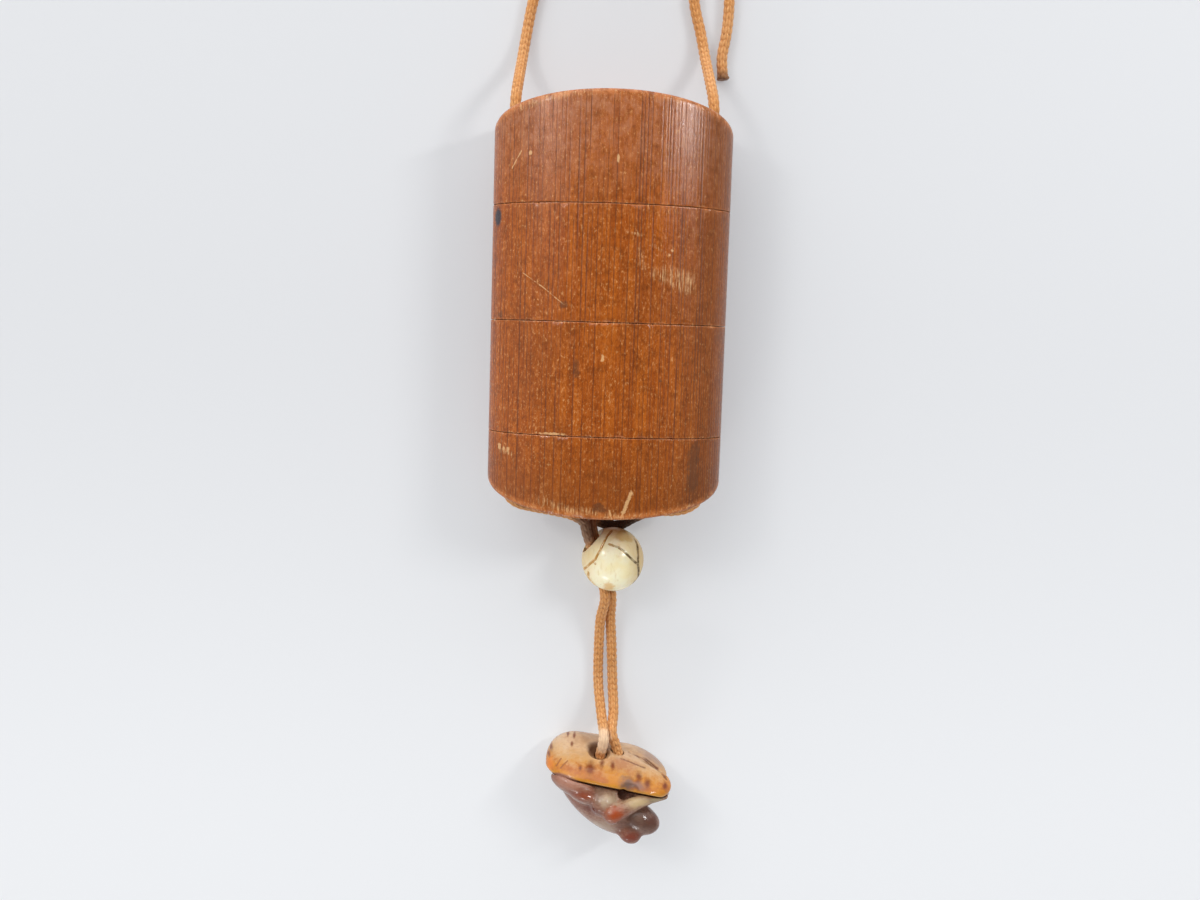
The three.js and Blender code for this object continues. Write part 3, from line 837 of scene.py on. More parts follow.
# --- Materials --------------------------------------------------------------------------------------
class Nodes:
    """Short ways to add nodes to one tree and join them."""

    def __init__(self, tree):
        self.tree = tree

    def put(self, socket, value):
        if isinstance(value, bpy.types.NodeSocket):
            self.tree.links.new(value, socket)
        elif socket.type == "RGBA" and len(value) == 3:
            socket.default_value = (*value, 1.0)
        else:
            socket.default_value = value

    def add(self, kind, inputs=None, **settings):
        node = self.tree.nodes.new(kind)
        for name, value in settings.items():
            setattr(node, name, value)
        for key, value in (inputs or {}).items():
            self.put(node.inputs[key], value)
        return node

    def math(self, operation, *values, clamp=False):
        node = self.add("ShaderNodeMath", operation=operation, use_clamp=clamp)
        for socket, value in zip(node.inputs, values):
            self.put(socket, value)
        return node.outputs[0]

    def vector(self, operation, *values, out=0):
        node = self.add("ShaderNodeVectorMath", operation=operation)
        for socket, value in zip(node.inputs, values):
            self.put(socket, value)
        return node.outputs[out]

    def mix(self, share, a, b):
        node = self.add("ShaderNodeMix", data_type="RGBA")
        for socket, value in zip((node.inputs[0], node.inputs[6], node.inputs[7]), (share, a, b)):
            self.put(socket, value)
        return node.outputs[2]

    def wash(self, colour, mask, share, tone):
        """Lays a tone over a colour where the mask is, up to this share."""
        return self.mix(self.math("MULTIPLY", mask, share), colour, tone)

    def tones(self, colour, *layers):
        """Lays tones over a colour, each as a value goes from low to high, up to its share."""
        for value, low, high, share, tone in layers:
            colour = self.mix(self.step(value, low, high, 0.0, share), colour, tone)
        return colour

    def scaled(self, place, scale):
        return self.vector("MULTIPLY", place, scale)

    def noise(self, place, scale, detail=2.0, rough=0.5, offset=0.0):
        """Cloudy noise with one scale, or with one for each direction."""
        if isinstance(scale, tuple):
            place, scale = self.scaled(place, scale), 1.0
        inputs = {"Vector": place, "Scale": scale, "Detail": detail, "Roughness": rough}
        if offset:
            inputs["Vector"] = self.vector("ADD", place, (offset, offset * 0.7, -offset))
        return self.add("ShaderNodeTexNoise", inputs).outputs["Fac"]

    def step(self, value, low, high, bottom=0.0, top=1.0):
        """Rises smoothly from bottom to top as value goes from low to high."""
        inputs = {"Value": value, "From Min": low, "From Max": high, "To Min": bottom, "To Max": top}
        return self.add("ShaderNodeMapRange", inputs, interpolation_type="SMOOTHSTEP").outputs[0]

    def field(self, name):
        """One of the values kept at a mesh's corners."""
        return self.add("ShaderNodeAttribute", attribute_name=name).outputs["Fac"]

    def place(self):
        """Where a point of the surface lies, in millimetres."""
        where = self.add("ShaderNodeTexCoord").outputs["Object"]
        return self.scaled(where, (1 / MM, 1 / MM, 1 / MM))

    def bump(self, height, distance, strength=1.0, normal=None):
        inputs = {"Height": height, "Distance": distance, "Strength": strength}
        if normal is not None:
            inputs["Normal"] = normal
        return self.add("ShaderNodeBump", inputs).outputs[0]

    def group(self, tree, **inputs):
        """A node group with these inputs, whose names are lower case with _ for a space."""
        node = self.add("ShaderNodeGroup", node_tree=tree)
        for name, value in inputs.items():
            self.put(node.inputs[name.replace("_", " ").capitalize()], value)
        return node.outputs

    def highest(self, values):
        """The largest of several values."""
        result = values[0]
        for value in values[1:]:
            result = self.math("MAXIMUM", result, value)
        return result


def new_group(name, inputs, outputs):
    """An empty node group with these sockets, its tree helper and its input sockets."""
    tree = bpy.data.node_groups.new(name, "ShaderNodeTree")
    for socket, kind, value in inputs:
        made = tree.interface.new_socket(socket, in_out="INPUT", socket_type=kind)
        if value is not None:
            made.default_value = value
    for socket in outputs:
        tree.interface.new_socket(socket, in_out="OUTPUT", socket_type="NodeSocketFloat")
    nodes = Nodes(tree)
    start = nodes.add("NodeGroupInput").outputs
    end = nodes.add("NodeGroupOutput").inputs
    return tree, nodes, start, end


def stroke_group():
    """A ragged stroke from one point to another: a scratch, a rubbed streak or a crack."""
    tree, nodes, given, out = new_group(
        "stroke",
        [
            ("Place", "NodeSocketVector", None), ("Start", "NodeSocketVector", None),
            ("End", "NodeSocketVector", None), ("Width", "NodeSocketFloat", 0.3),
            ("Ragged", "NodeSocketFloat", 0.5), ("Core", "NodeSocketFloat", 0.45),
        ],
        ["Mask"],
    )
    along = nodes.vector("SUBTRACT", given["End"], given["Start"])
    off = nodes.vector("SUBTRACT", given["Place"], given["Start"])
    share = nodes.math(
        "DIVIDE",
        nodes.vector("DOT_PRODUCT", off, along, out=1),
        nodes.vector("DOT_PRODUCT", along, along, out=1),
        clamp=True,
    )
    nearest = nodes.add("ShaderNodeVectorMath", operation="SCALE")
    nodes.put(nearest.inputs[0], along)
    nodes.put(nearest.inputs["Scale"], share)
    apart = nodes.vector("DISTANCE", off, nearest.outputs[0], out=1)
    rough = nodes.noise(given["Place"], 1.7, 3, 0.6)
    ragged = nodes.math("MULTIPLY", given["Ragged"], 2.0)
    push = nodes.math("MULTIPLY", nodes.math("SUBTRACT", rough, 0.5), ragged)
    edge = nodes.math("DIVIDE", nodes.math("ADD", apart, push), given["Width"])
    nodes.put(out["Mask"], nodes.step(edge, 1.0, given["Core"]))
    return tree


def patch_group():
    """A ragged oval patch: a rubbed place, a stain or a dent."""
    tree, nodes, given, out = new_group(
        "patch",
        [
            ("Place", "NodeSocketVector", None), ("Centre", "NodeSocketVector", None),
            ("Half", "NodeSocketVector", (1, 1, 1)), ("Ragged", "NodeSocketFloat", 0.4),
            ("Grit", "NodeSocketFloat", 1.0), ("Core", "NodeSocketFloat", 0.55),
        ],
        ["Mask"],
    )
    off = nodes.vector("SUBTRACT", given["Place"], given["Centre"])
    off = nodes.vector("DIVIDE", off, given["Half"])
    rough = nodes.noise(given["Place"], given["Grit"], 4, 0.6)
    ragged = nodes.math("MULTIPLY", given["Ragged"], 4.0)
    push = nodes.math("MULTIPLY", nodes.math("SUBTRACT", rough, 0.5), ragged)
    reach = nodes.math("ADD", nodes.vector("LENGTH", off, out=1), push)
    nodes.put(out["Mask"], nodes.step(reach, 1.15, given["Core"]))
    return tree


STROKE = stroke_group()
PATCH = patch_group()


def new_material(name):
    """An empty material, its tree helper and the inputs of its shader."""
    material = bpy.data.materials.new(name)
    material.use_nodes = True
    material.node_tree.nodes.clear()
    nodes = Nodes(material.node_tree)
    shader = nodes.add("ShaderNodeBsdfPrincipled")
    output = nodes.add("ShaderNodeOutputMaterial")
    material.node_tree.links.new(shader.outputs[0], output.inputs[0])
    return material, nodes, shader.inputs


# Marks on the front of the cases, as how far across and along them they lie, in millimetres.
# Strokes are (start, end, width, raggedness), patches (centre, half sizes, raggedness).
# The rubbed strokes show only on the grain's ridges.
RUBBED_STROKES = [
    ((9.5, 7.5), (17, 4.5), 1.7, 0.5), ((12, 8), (17, 6.5), 2.3, 0.6), ((3, 16), (6.5, 15.5), 0.5, 0.6),
    ((6, 12.5), (7, 8.5), 0.8, 0.8), ((8.5, 13.5), (12.5, 11.5), 0.5, 0.6),
    ((-13.5, -41.5), (-5, -44), 1.5, 1.1), ((-5, -43), (4, -44.5), 1.2, 1.0),
    ((-22.5, -31.5), (-20, -32), 0.8, 0.6), ((-20, 41.5), (-10, 44), 1.1, 0.9),
    ((-9, 44), (14, 43.5), 0.8, 0.8), ((-18, -27.5), (14, -27.5), 0.35, 0.5),
]
PALE_STROKES = [
    ((-18.5, 7), (-14, 4), 0.13, 0.14), ((-14, 4), (-9.5, 0.5), 0.12, 0.16),
    ((6, -39), (4.5, -43.5), 0.5, 0.55), ((4.5, -43.5), (4, -44.5), 0.3, 0.3),
    ((1.5, -43), (2, -45), 0.26, 0.4), ((-21.5, 29), (-19.5, 32.5), 0.16, 0.2),
]
PALE_PATCHES = [
    ((-17.5, 32), (0.42, 0.5, 2.0), 0.3), ((1, 31), (0.35, 0.9, 2.0), 0.3),
    ((13, 12.5), (0.35, 0.3, 2.0), 0.3), ((-23, -30.5), (0.4, 0.8, 2.0), 0.5),
    ((-22, -31), (0.5, 0.5, 2.0), 0.6), ((-21, -31), (0.4, 0.7, 2.0), 0.5),
    ((-1, -10.5), (0.35, 1.0, 2.0), 0.5), ((-12, -27), (3.2, 0.22, 2.0), 1.0),
]
DARK_PATCHES = [
    ((19.5, -34), (1.6, 6.6, 3.0), 0.5), ((-6.5, -13), (0.7, 2.2, 2.0), 0.5),
    ((11.5, -15), (0.5, 0.4, 2.0), 0.3), ((-0.5, -42.5), (1.6, 1.2, 2.0), 0.6),
    ((-9.5, 0.5), (1.0, 0.9, 2.0), 0.5), ((-23.5, -2), (0.8, 1.0, 2.0), 0.5),
]
BLUE_MARK = ((-24.5, 19), (0.9, 2.3, 3.2), 0.12)


def on_case(across, along):
    """A point on the front of the cases."""
    return across, along, AXIS_Z + HALF_DEPTH * math.sqrt(1 - (across / HALF_WIDTH) ** 2)


def wood_material():
    """Polished orange-brown wood with open grain lines, worn edges, old rubbed places and painted shade
    towards its right side.
    """
    material, nodes, shader = new_material("case_wood")
    place = nodes.place()
    across, along_stack, _ = nodes.add("ShaderNodeSeparateXYZ", {"Vector": place}).outputs
    grain, edge = nodes.field("grain"), nodes.field("edge")
    broad = nodes.noise(place, (0.11, 0.07, 0.11), 4, 0.6)
    streak = nodes.noise(place, (0.9, 0.03, 0.9), 4, 0.65)
    fine = nodes.noise(place, (5.0, 0.12, 5.0), 3, 0.6)
    mottle = nodes.noise(place, (0.55, 0.4, 0.55), 5, 0.7, offset=31.0)
    grit = nodes.noise(place, (2.2, 1.2, 2.2), 4, 0.75, offset=13.0)
    colour = nodes.mix(nodes.step(streak, 0.32, 0.7), (0.30, 0.063, 0.0055), (0.42, 0.102, 0.008))
    colour = nodes.tones(
        colour,
        (fine, 0.5, 0.8, 0.45, (0.16, 0.032, 0.005)),
        (fine, 0.46, 0.22, 0.35, (0.55, 0.20, 0.040)),
        (broad, 0.42, 0.64, 0.4, (0.24, 0.060, 0.010)),
        (mottle, 0.52, 0.32, 0.6, (0.17, 0.042, 0.008)),
        (mottle, 0.52, 0.74, 0.4, (0.54, 0.165, 0.026)),
        (grit, 0.49, 0.30, 0.72, (0.13, 0.028, 0.005)),
        (grit, 0.54, 0.70, 0.62, (0.72, 0.36, 0.135)),
    )
    dusty = nodes.step(mottle, 0.4, 0.62, 0.15, 0.5)
    colour = nodes.wash(colour, nodes.step(along_stack, 16.0, 42.0), dusty, (0.42, 0.19, 0.105))
    colour = nodes.tones(
        colour,
        (along_stack, -24.0, -44.0, 0.4, (0.15, 0.045, 0.010)),
        # Painted shade: darker towards the right side of the cases.
        (across, 11.0, 25.0, 0.5, (0.13, 0.045, 0.012)),
        (grain, 0.1, 0.75, 0.72, (0.095, 0.020, 0.004)),
    )

    def strokes(marks, core):
        return [
            nodes.group(
                STROKE, place=place, start=on_case(*start), end=on_case(*end),
                width=width, ragged=ragged, core=core,
            )["Mask"]
            for start, end, width, ragged in marks
        ]

    def patches(marks, grit_scale):
        return [
            nodes.group(
                PATCH, place=place, centre=on_case(*centre), half=half, ragged=ragged, grit=grit_scale
            )["Mask"]
            for centre, half, ragged in marks
        ]

    ridges = nodes.noise(place, (3.4, 0.24, 3.4), 2, 0.6, offset=17.0)
    rubbed = nodes.highest(strokes(RUBBED_STROKES, 0.0))
    rubbed = nodes.math("MULTIPLY", rubbed, nodes.step(ridges, 0.43, 0.62))
    rubbed = nodes.math("MULTIPLY", rubbed, nodes.step(grit, 0.36, 0.6, 0.35, 1.0))
    speck = nodes.step(nodes.noise(place, (1.9, 1.1, 1.9), 3, 0.6, offset=7.0), 0.63, 0.75, 0.0, 0.45)
    pale = [*strokes(PALE_STROKES, 0.45), *patches(PALE_PATCHES, 1.4), rubbed, speck]
    pale = nodes.highest(pale)
    colour = nodes.wash(colour, pale, 0.64, (0.74, 0.45, 0.20))
    colour = nodes.wash(colour, nodes.highest(patches(DARK_PATCHES, 0.9)), 0.6, (0.10, 0.04, 0.018))
    colour = nodes.wash(colour, edge, nodes.step(mottle, 0.36, 0.6, 0.2, 0.85), (0.62, 0.20, 0.05))
    colour = nodes.wash(colour, edge, nodes.step(grit, 0.52, 0.66, 0.0, 0.75), (0.72, 0.45, 0.22))
    colour = nodes.wash(colour, patches([BLUE_MARK], 0.8)[0], 0.93, (0.018, 0.022, 0.032))
    nodes.put(shader["Base Color"], colour)
    rough = nodes.step(mottle, 0.3, 0.75, 0.13, 0.27)
    rough = nodes.math("ADD", rough, nodes.math("MULTIPLY", pale, 0.2))
    nodes.put(shader["Roughness"], nodes.math("ADD", rough, nodes.math("MULTIPLY", grain, 0.3)))
    shader["Specular IOR Level"].default_value = 0.36
    low = nodes.bump(nodes.math("MULTIPLY", fine, -1.0), 0.00003, 0.6)
    pits = nodes.bump(nodes.math("ADD", grit, mottle), 0.00005, 0.35, low)
    nodes.put(shader["Normal"], pits)
    return material


def cord_material():
    """Old golden silk braid, browned at the cut ends, with painted shade between its strands, beside
    the bead and under the lid.
    """
    material, nodes, shader = new_material("silk_braid")
    place = nodes.place()
    height, along, around = nodes.field("height"), nodes.field("along"), nodes.field("around")
    tone = nodes.noise(place, (0.12, 0.12, 0.12), 3, 0.6)
    thread = nodes.noise(place, (3.0, 2.2, 3.0), 3, 0.6)
    colour = nodes.mix(nodes.step(tone, 0.35, 0.65), (0.62, 0.26, 0.058), (0.69, 0.33, 0.11))
    colour = nodes.tones(
        colour,
        (thread, 0.5, 0.72, 0.6, (0.93, 0.62, 0.31)),
        (thread, 0.46, 0.3, 0.4, (0.62, 0.22, 0.04)),
        # Painted shade: darker down the flanks of the stitches and darkest in the gaps between the
        # strands.
        (height, 0.82, 0.38, 0.75, (0.52, 0.19, 0.04)),
        (height, 0.36, 0.1, 0.85, (0.20, 0.06, 0.012)),
    )
    start = nodes.step(along, 3.0, 0.0)
    end = nodes.step(along, cord_length - 3.0, cord_length)
    colour = nodes.wash(colour, nodes.math("MAXIMUM", start, end), 0.8, (0.12, 0.05, 0.02))
    # Pale with wear at the netsuke, painted shade on the strand beside the bead, and a near-black
    # painted shadow under the lid.
    for centre, half, ragged, grit, share, tone in (
        ((1.9, -99.6, 10.4), (2.2, 3.4, 4.0), 0.2, 0.8, 0.6, (0.95, 0.74, 0.52)),
        # Painted shade on the strand that enters the bead's bore.
        ((-4.0, -50.2, 9.0), (3.6, 4.2, 7.0), 0.2, 0.7, 0.8, (0.25, 0.16, 0.11)),
        # A near-black painted shadow on the cord where it runs under the lid.
        ((5.2, -49.2, 4.0), (8.4, 3.0, 5.6), 0.1, 0.7, 0.94, (0.045, 0.020, 0.010)),
    ):
        wear_and_painted_shade = nodes.group(PATCH, place=place, centre=centre, half=half, ragged=ragged, grit=grit)
        colour = nodes.wash(colour, wear_and_painted_shade["Mask"], share, tone)
    nodes.put(shader["Base Color"], colour)
    nodes.put(shader["Roughness"], nodes.step(thread, 0.3, 0.7, 0.62, 0.85))
    shader["Sheen Weight"].default_value = 0.2
    shader["Sheen Roughness"].default_value = 0.5
    hairs = nodes.add("ShaderNodeCombineXYZ")
    nodes.put(hairs.inputs[0], nodes.math("SINE", nodes.math("MULTIPLY", around, 24.0)))
    nodes.put(hairs.inputs[1], nodes.math("MULTIPLY", along, 1.6))
    lines = nodes.noise(hairs.outputs[0], 2.2, 2, 0.5)
    nodes.put(shader["Normal"], nodes.bump(lines, 0.00008, 0.7))
    return material


def bead_material():
    """Ivory-cream bone with darkened cracks, painted shade on both flanks, deepest on its right, and an
    orange stain at the bore.
    """
    material, nodes, shader = new_material("bead_bone")
    place = nodes.place()
    cloud = nodes.noise(place, (0.22, 0.22, 0.22), 4, 0.6)
    colour = nodes.mix(nodes.step(cloud, 0.35, 0.65), (0.96, 0.84, 0.50), (0.99, 0.92, 0.66))
    streak = nodes.noise(place, (1.6, 0.3, 1.6), 3, 0.6, offset=11.0)
    across = nodes.add("ShaderNodeSeparateXYZ", {"Vector": place}).outputs[0]
    middle = BEAD_CENTRE[0]
    colour = nodes.tones(
        colour,
        (streak, 0.52, 0.76, 0.5, (0.74, 0.55, 0.24)),
        # Painted shade: darker towards the bead's right and, less, towards its left.
        (across, middle + 2, middle + 7, 0.8, (0.56, 0.35, 0.09)),
        (across, middle - 3, middle - 7, 0.6, (0.74, 0.50, 0.19)),
    )
    for centre, half, grit, share, tone in (
        ((5.6, -50.9, 10.0), (3.2, 1.7, 5.0), 0.6, 0.75, (0.62, 0.42, 0.12)),
        ((2.1, -62.6, 11.0), (1.4, 1.5, 3.5), 0.8, 0.6, (0.78, 0.42, 0.10)),
    ):
        spot = nodes.group(PATCH, place=place, centre=centre, half=half, ragged=0.25, grit=grit)
        colour = nodes.wash(colour, spot["Mask"], share, tone)
    cracks = []
    for width, crack in CRACKS:
        for start, end in zip(crack, crack[1:]):
            half_way = tuple((a + b) / 2 for a, b in zip(start, end))
            one, mid, two = on_bead(*start), on_bead(*half_way), on_bead(*end)
            for a, b in ((one, mid), (mid, two)):
                stained = width * CRACK_STAIN
                stroke = nodes.group(STROKE, place=place, start=a, end=b, width=stained, ragged=0.08)
                cracks.append(stroke["Mask"])
    broken = nodes.step(nodes.noise(place, 0.9, 2, 0.5, offset=5.0), 0.35, 0.55, 0.45, 0.95)
    left_to_right = nodes.step(across, middle - 3, middle + 4)
    stain = nodes.mix(left_to_right, (0.58, 0.29, 0.06), (0.13, 0.08, 0.025))
    colour = nodes.wash(colour, nodes.highest(cracks), broken, stain)
    nodes.put(shader["Base Color"], colour)
    shader["Subsurface Weight"].default_value = 0.12
    shader["Subsurface Radius"].default_value = (0.002, 0.0012, 0.0006)
    nodes.put(shader["Roughness"], nodes.step(cloud, 0.3, 0.7, 0.14, 0.24))
    nodes.put(shader["Normal"], nodes.bump(nodes.noise(place, 1.1, 3, 0.5), 0.00008, 0.2))
    return material


def own_point(across, up, out):
    """A point of the netsuke's own frame, in the inro's."""
    turn, centre = netsuke_place()
    return tuple(float(v) for v in turn @ np.array((across, up, out)) + centre)


def netsuke_front(across, up):
    """The point on the netsuke's front at this place of its own frame, in the inro's."""
    out = np.arange(14.0, -10.0, -0.1)
    leaf, body = netsuke_forms((np.full_like(out, across), np.full_like(out, up), out))
    return own_point(across, up, out[np.argmax(np.minimum(leaf, body) < 0)])


# Colours of the carving in its own frame, as (share, centre, half sizes, tone, raggedness, grit).
LEAF_TONES = [
    (0.7, (3.6, 5.4, 6.0), (6.0, 2.2, 4), (0.38, 0.14, 0.06), 0.45, 0.8),
    (0.8, (-13.8, 5.6, 4.6), (1.3, 2.4, 4), (0.72, 0.20, 0.03), 0.25, 0.5),
    # The next two are partly a grey blot on the leaf and partly painted shade in the notch below it.
    (0.85, (4.3, 0.9, 8.0), (2.6, 2.1, 4.0), (0.13, 0.085, 0.075), 0.35, 0.7),
    (0.75, (6.4, 0.4, 8.0), (3.0, 1.5, 4.0), (0.20, 0.12, 0.10), 0.35, 0.7),
    (0.9, (10.8, 7.2, -1.8), (5.4, 3.6, 5), (0.33, 0.21, 0.15), 0.3, 0.6),
]
BODY_TONES = [
    (0.9, (-9.6, 1.0, 7.0), (5.4, 2.2, 5), (0.38, 0.18, 0.12), 0.3, 0.7),
    (0.9, (-6.0, -1.6, 7.0), (5.0, 2.0, 5), (0.24, 0.055, 0.025), 0.25, 0.6),
    (0.75, (-2.0, -1.6, 6.6), (2.0, 2.6, 5), (0.20, 0.13, 0.09), 0.35, 0.7),
    (0.9, (0.2, -2.8, 6.4), (3.0, 2.4, 5), (0.48, 0.37, 0.25), 0.25, 0.6),
    (0.85, (-4.6, -4.8, 4.5), (5.0, 1.9, 5), (0.14, 0.035, 0.02), 0.3, 0.6),
    (0.8, (-9.2, -3.4, 3.0), (4.6, 1.8, 5), (0.26, 0.10, 0.065), 0.3, 0.6),
    (0.85, (-1.8, -8.6, 1.5), (4.4, 2.0, 6), (0.42, 0.31, 0.23), 0.3, 0.6),
    (1.0, (1.5, -5.9, 7.0), (3.4, 2.5, 4.4), (0.32, 0.062, 0.018), 0.35, 0.7),
    (0.95, (6.6, -3.2, 7.0), (4.6, 1.9, 3.4), (0.50, 0.37, 0.20), 0.25, 0.7),
    (0.85, (11.0, -2.5, 5.5), (2.6, 0.9, 3), (0.40, 0.33, 0.20), 0.3, 0.8),
    (0.9, (8.0, -7.2, 3.0), (6.6, 4.8, 7), (0.10, 0.052, 0.038), 0.25, 0.5),
    (0.6, (6.4, -6.4, 4.0), (2.2, 1.5, 4), (0.15, 0.09, 0.065), 0.45, 0.8),
    (0.55, (10.0, -7.4, 4.0), (1.9, 1.6, 4), (0.10, 0.032, 0.02), 0.45, 0.8),
    (0.85, (4.9, -11.0, 2.0), (3.2, 2.2, 5), (0.18, 0.035, 0.02), 0.3, 0.7),
    # Painted shade: near-black inside the mouth hole below the leaf's notch.
    (0.97, (3.3, -1.3, 5.5), (1.45, 1.4, 4.5), (0.015, 0.010, 0.007), 0.12, 1.0),
]
# Spots on the leaf, as how far across and up they lie and their size.
SPOTS = [
    (-4, 4.5, 1.0), (-1.5, 5.5, 0.5), (1, 5, 0.5), (7, 2.5, 0.7), (9, 1, 0.7), (13, 0.5, 0.55),
    (-8.5, 10, 0.3), (-8, 12, 0.3), (-9.5, 12.5, 0.3), (-13.5, 9.5, 0.5), (-14, 8, 0.45),
    (-6.5, 4.5, 0.35),
]
SPOT_TONE = (0.145, 0.026, 0.010)
# Dark lines on the leaf, as (start, end, width, raggedness, core, share, tone): two dashes at its
# left, then the edge of its back lobe and the cleft beside it.
DASH = (0.3, 0.15, 0.45, 0.75, (0.24, 0.08, 0.03))
VEIN = (0.3, 0.0, 0.85, (0.17, 0.06, 0.03))  # without its width
LEAF_LINES = [
    ((-12, 5), (-11, 6.5), *DASH), ((-11, 4.5), (-9.5, 6), *DASH),
    ((9, 6), (11.5, 4.5), 0.55, *VEIN), ((11.5, 4.5), (13.5, 2), 0.65, *VEIN),
    ((3, 6.5), (8.5, 4.5), 0.5, *VEIN), ((5, 8), (9, 6), 0.5, *VEIN),
]
# Painted shade in the mouth of the cord's hole, in the inro's frame.
HOLE_PAINTED_SHADE = ((0.8, -102.4, 8.4), (3.0, 2.8, 2.7), (0.10, 0.045, 0.025))


def netsuke_material():
    """Tawny horn, yellow-orange at the leaf's rim, reddish below it, greyer on the head, with a painted
    highlight along the rim and painted shade in the notch, the mouth and the cord's hole.
    """
    material, nodes, shader = new_material("netsuke_horn")
    place = nodes.place()
    leaf, rim = nodes.field("leaf"), nodes.field("rim")
    cloud = nodes.noise(place, (0.25, 0.25, 0.25), 4, 0.6)
    mottle = nodes.noise(place, (0.8, 0.8, 0.8), 4, 0.65, offset=23.0)
    fibre = nodes.noise(place, (1.2, 3.6, 2.0), 3, 0.6)
    wisp = nodes.math("ADD", rim, nodes.step(mottle, 0.25, 0.75, -1.1, 1.1))
    colour = nodes.mix(nodes.step(cloud, 0.35, 0.65), (0.46, 0.28, 0.15), (0.58, 0.39, 0.24))
    colour = nodes.tones(colour, (fibre, 0.45, 0.75, 0.35, (0.36, 0.19, 0.10)))
    band = nodes.mix(nodes.step(cloud, 0.4, 0.62), (0.54, 0.195, 0.012), (0.42, 0.115, 0.010))
    band = nodes.tones(
        # The second tone is a painted highlight: brighter yellow along the very edge of the leaf's rim.
        band, (mottle, 0.5, 0.3, 0.5, (0.30, 0.075, 0.012)), (rim, 1.0, 0.1, 0.5, (0.68, 0.35, 0.04))
    )
    colour = nodes.tones(
        colour, (wisp, 9.5, 4.0, 0.55, (0.60, 0.33, 0.10)), (wisp, 6.2, 1.8, 0.92, band)
    )
    under = nodes.mix(nodes.step(cloud, 0.35, 0.65), (0.24, 0.11, 0.07), (0.36, 0.21, 0.145))
    under = nodes.tones(under, (fibre, 0.42, 0.66, 0.6, (0.16, 0.04, 0.022)))
    colour = nodes.mix(leaf, under, colour)

    def patch(centre, half, ragged, grit):
        made = nodes.group(
            PATCH, place=place, centre=centre, half=half, ragged=ragged, grit=grit, core=0.1
        )
        return made["Mask"]

    below = nodes.math("SUBTRACT", 1.0, leaf)
    for part, tones in ((leaf, LEAF_TONES), (below, BODY_TONES)):
        for share, centre, half, tone, ragged, grit in tones:
            mask = patch(own_point(*centre), half, ragged, grit)
            colour = nodes.wash(colour, nodes.math("MULTIPLY", mask, part), share, tone)
    for across, up, size in SPOTS:
        mask = patch(netsuke_front(across, up), (size * 1.5, size * 1.7, 3.5), 0.25, 0.8)
        colour = nodes.wash(colour, mask, 0.85, SPOT_TONE)
    for start, end, width, ragged, core, share, tone in LEAF_LINES:
        line = nodes.group(
            STROKE, place=place, start=netsuke_front(*start), end=netsuke_front(*end),
            width=width, ragged=ragged, core=core,
        )
        colour = nodes.wash(colour, line["Mask"], share, tone)
    # Painted shade in the mouth of the cord's hole.
    centre, half, tone = HOLE_PAINTED_SHADE
    hole_shade = nodes.group(PATCH, place=place, centre=centre, half=half, ragged=0.1, grit=0.6)
    colour = nodes.wash(colour, hole_shade["Mask"], 0.9, tone)
    nodes.put(shader["Base Color"], colour)
    shader["Specular IOR Level"].default_value = 0.33
    shader["Subsurface Weight"].default_value = 0.05
    shader["Subsurface Radius"].default_value = (0.002, 0.001, 0.0004)
    nodes.put(shader["Roughness"], nodes.step(mottle, 0.3, 0.7, 0.09, 0.2))
    nodes.put(shader["Normal"], nodes.bump(nodes.noise(place, 1.3, 3, 0.5), 0.00014, 0.3))
    return material


# --- Floor and light --------------------------------------------------------------------------------
TABLE_HALF = 6000.0
TABLE_TOP = -0.05
LIGHTS_AIM = (0, -20, 10)


def make_floor():
    """The pale table, glowing faintly as a light table does, a little more towards its foot."""
    signs = ((-1, -1), (1, -1), (1, 1), (-1, 1))
    corners = [(x * TABLE_HALF, y * TABLE_HALF, TABLE_TOP) for x, y in signs]
    floor = mesh_object("floor", corners, np.array([[0, 1, 2, 3]]))
    material, nodes, shader = new_material("table")
    along = nodes.add("ShaderNodeSeparateXYZ", {"Vector": nodes.place()}).outputs[1]
    glow = nodes.step(along, 10.0, -140.0)
    glow = nodes.mix(glow, (0.235, 0.240, 0.252), (0.355, 0.362, 0.374))
    nodes.put(shader["Emission Color"], glow)
    shader["Emission Strength"].default_value = 1.0
    shader["Base Color"].default_value = (0.46, 0.464, 0.47, 1.0)
    shader["Roughness"].default_value = 0.9
    shader["Specular IOR Level"].default_value = 0.1
    floor.data.materials.append(material)
    floor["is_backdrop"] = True


def make_light(name, place, size, power, tint=(1.0, 1.0, 1.0)):
    """A soft oblong lamp aimed at the inro."""
    lamp = bpy.data.lights.new(name, "AREA")
    lamp.shape = "RECTANGLE"
    lamp.size, lamp.size_y = (s * MM for s in size)
    lamp.energy = power
    lamp.color = tint
    made = bpy.data.objects.new(name, lamp)
    bpy.context.collection.objects.link(made)
    made.location = Vector(place) * MM
    aim = Vector(LIGHTS_AIM) * MM - made.location
    made.rotation_euler = aim.to_track_quat("-Z", "Y").to_euler()


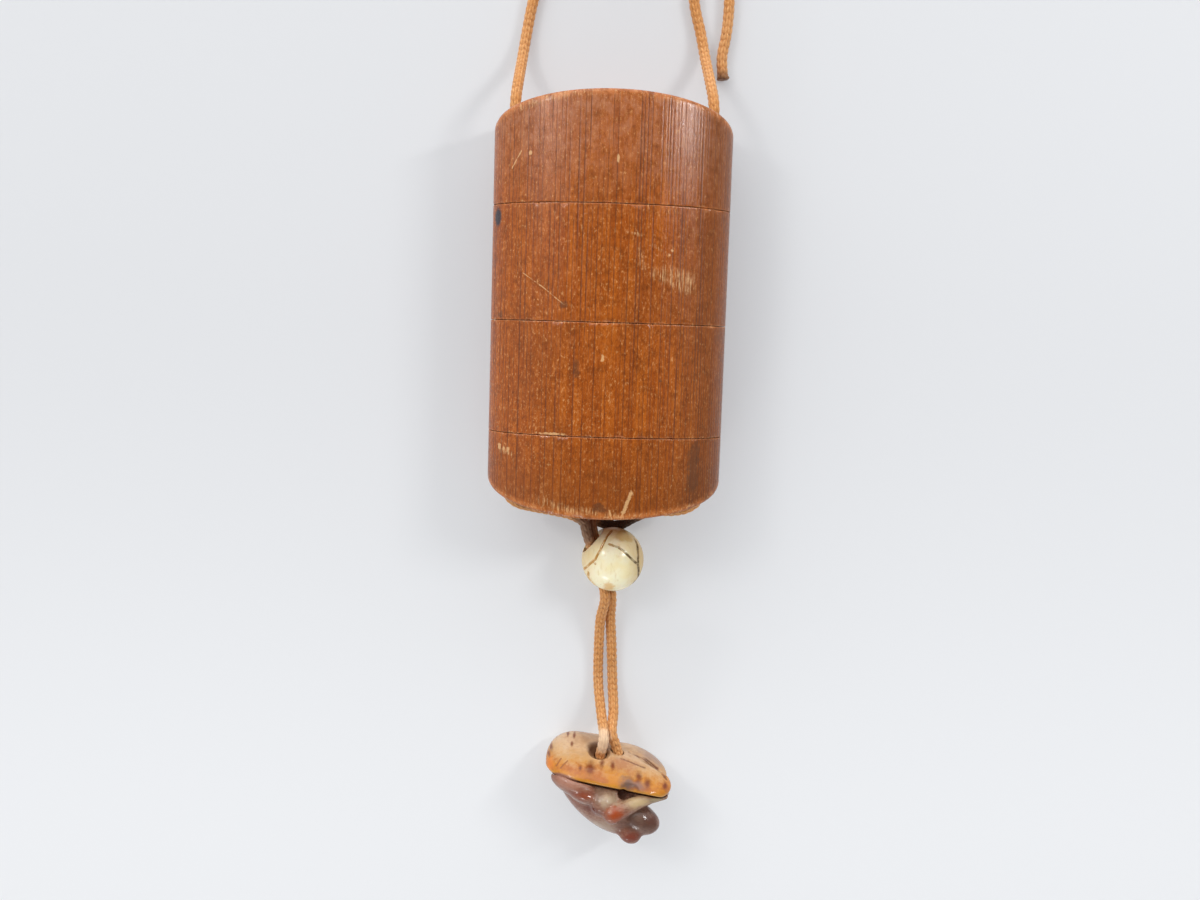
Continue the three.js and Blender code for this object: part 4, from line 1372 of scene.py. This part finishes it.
def make_world(overhead, walls, head_end, foot_end):
    """A studio dark straight overhead, with pale walls, brightest beyond both ends of the inro."""
    world = bpy.data.worlds.new("studio")
    world.use_nodes = True
    world.node_tree.nodes.clear()
    nodes = Nodes(world.node_tree)
    way = nodes.add("ShaderNodeTexCoord").outputs["Generated"]
    across, lengthways, height = nodes.add("ShaderNodeSeparateXYZ", {"Vector": way}).outputs
    strength = nodes.step(height, 0.97, 0.5, overhead, walls)
    strength = nodes.math("MULTIPLY", strength, nodes.step(across, 0.8, -0.2, 0.5, 1.0))
    head = nodes.step(lengthways, 0.3, 0.85, 0.0, head_end)
    foot = nodes.step(lengthways, -0.35, -0.85, 0.0, foot_end)
    strength = nodes.math("ADD", strength, nodes.math("ADD", head, foot))
    sky = {"Color": (0.95, 0.97, 1.0), "Strength": strength}
    background = nodes.add("ShaderNodeBackground", sky)
    output = nodes.add("ShaderNodeOutputWorld")
    world.node_tree.links.new(background.outputs[0], output.inputs[0])
    bpy.context.scene.world = world


# --- Making the inro --------------------------------------------------------------------------------
bpy.context.scene.view_settings.view_transform = "Standard"
make_floor()
make_world(0.15, 0.68, 1.5, 0.5)
make_light("key_light", (-400, 430, 560), (700, 700), 2.0, (1.0, 0.985, 0.96))
make_light("window_light", (369, 168, 362), (36, 150), 0.95)
make_light("foot_light", (-190, -540, 230), (150, 24), 0.42)
make_light("left_window_light", (-330, 205, 400), (60, 120), 0.45)

wood = wood_material()
dress(make_base_case(), wood, "case_wood", "base_case")
for node, low, high, seeds in (
    ("lower_case", LOWER_LOW, LOWER_HIGH, (23, 24)),
    ("upper_case", UPPER_LOW, UPPER_HIGH, (25, 26)),
):
    dress(make_middle_case(f"{node}_wood", low, high, seeds), wood, "case_wood", node)
dress(make_lid(), wood, "case_wood", "lid")
bead = dress(make_bead(), bead_material(), "bead_bone", "ojime_bead")
netsuke = dress(make_netsuke(), netsuke_material(), "netsuke_horn", "netsuke")
dress(cord, cord_material(), "braided_cord", "cord")

low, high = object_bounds()
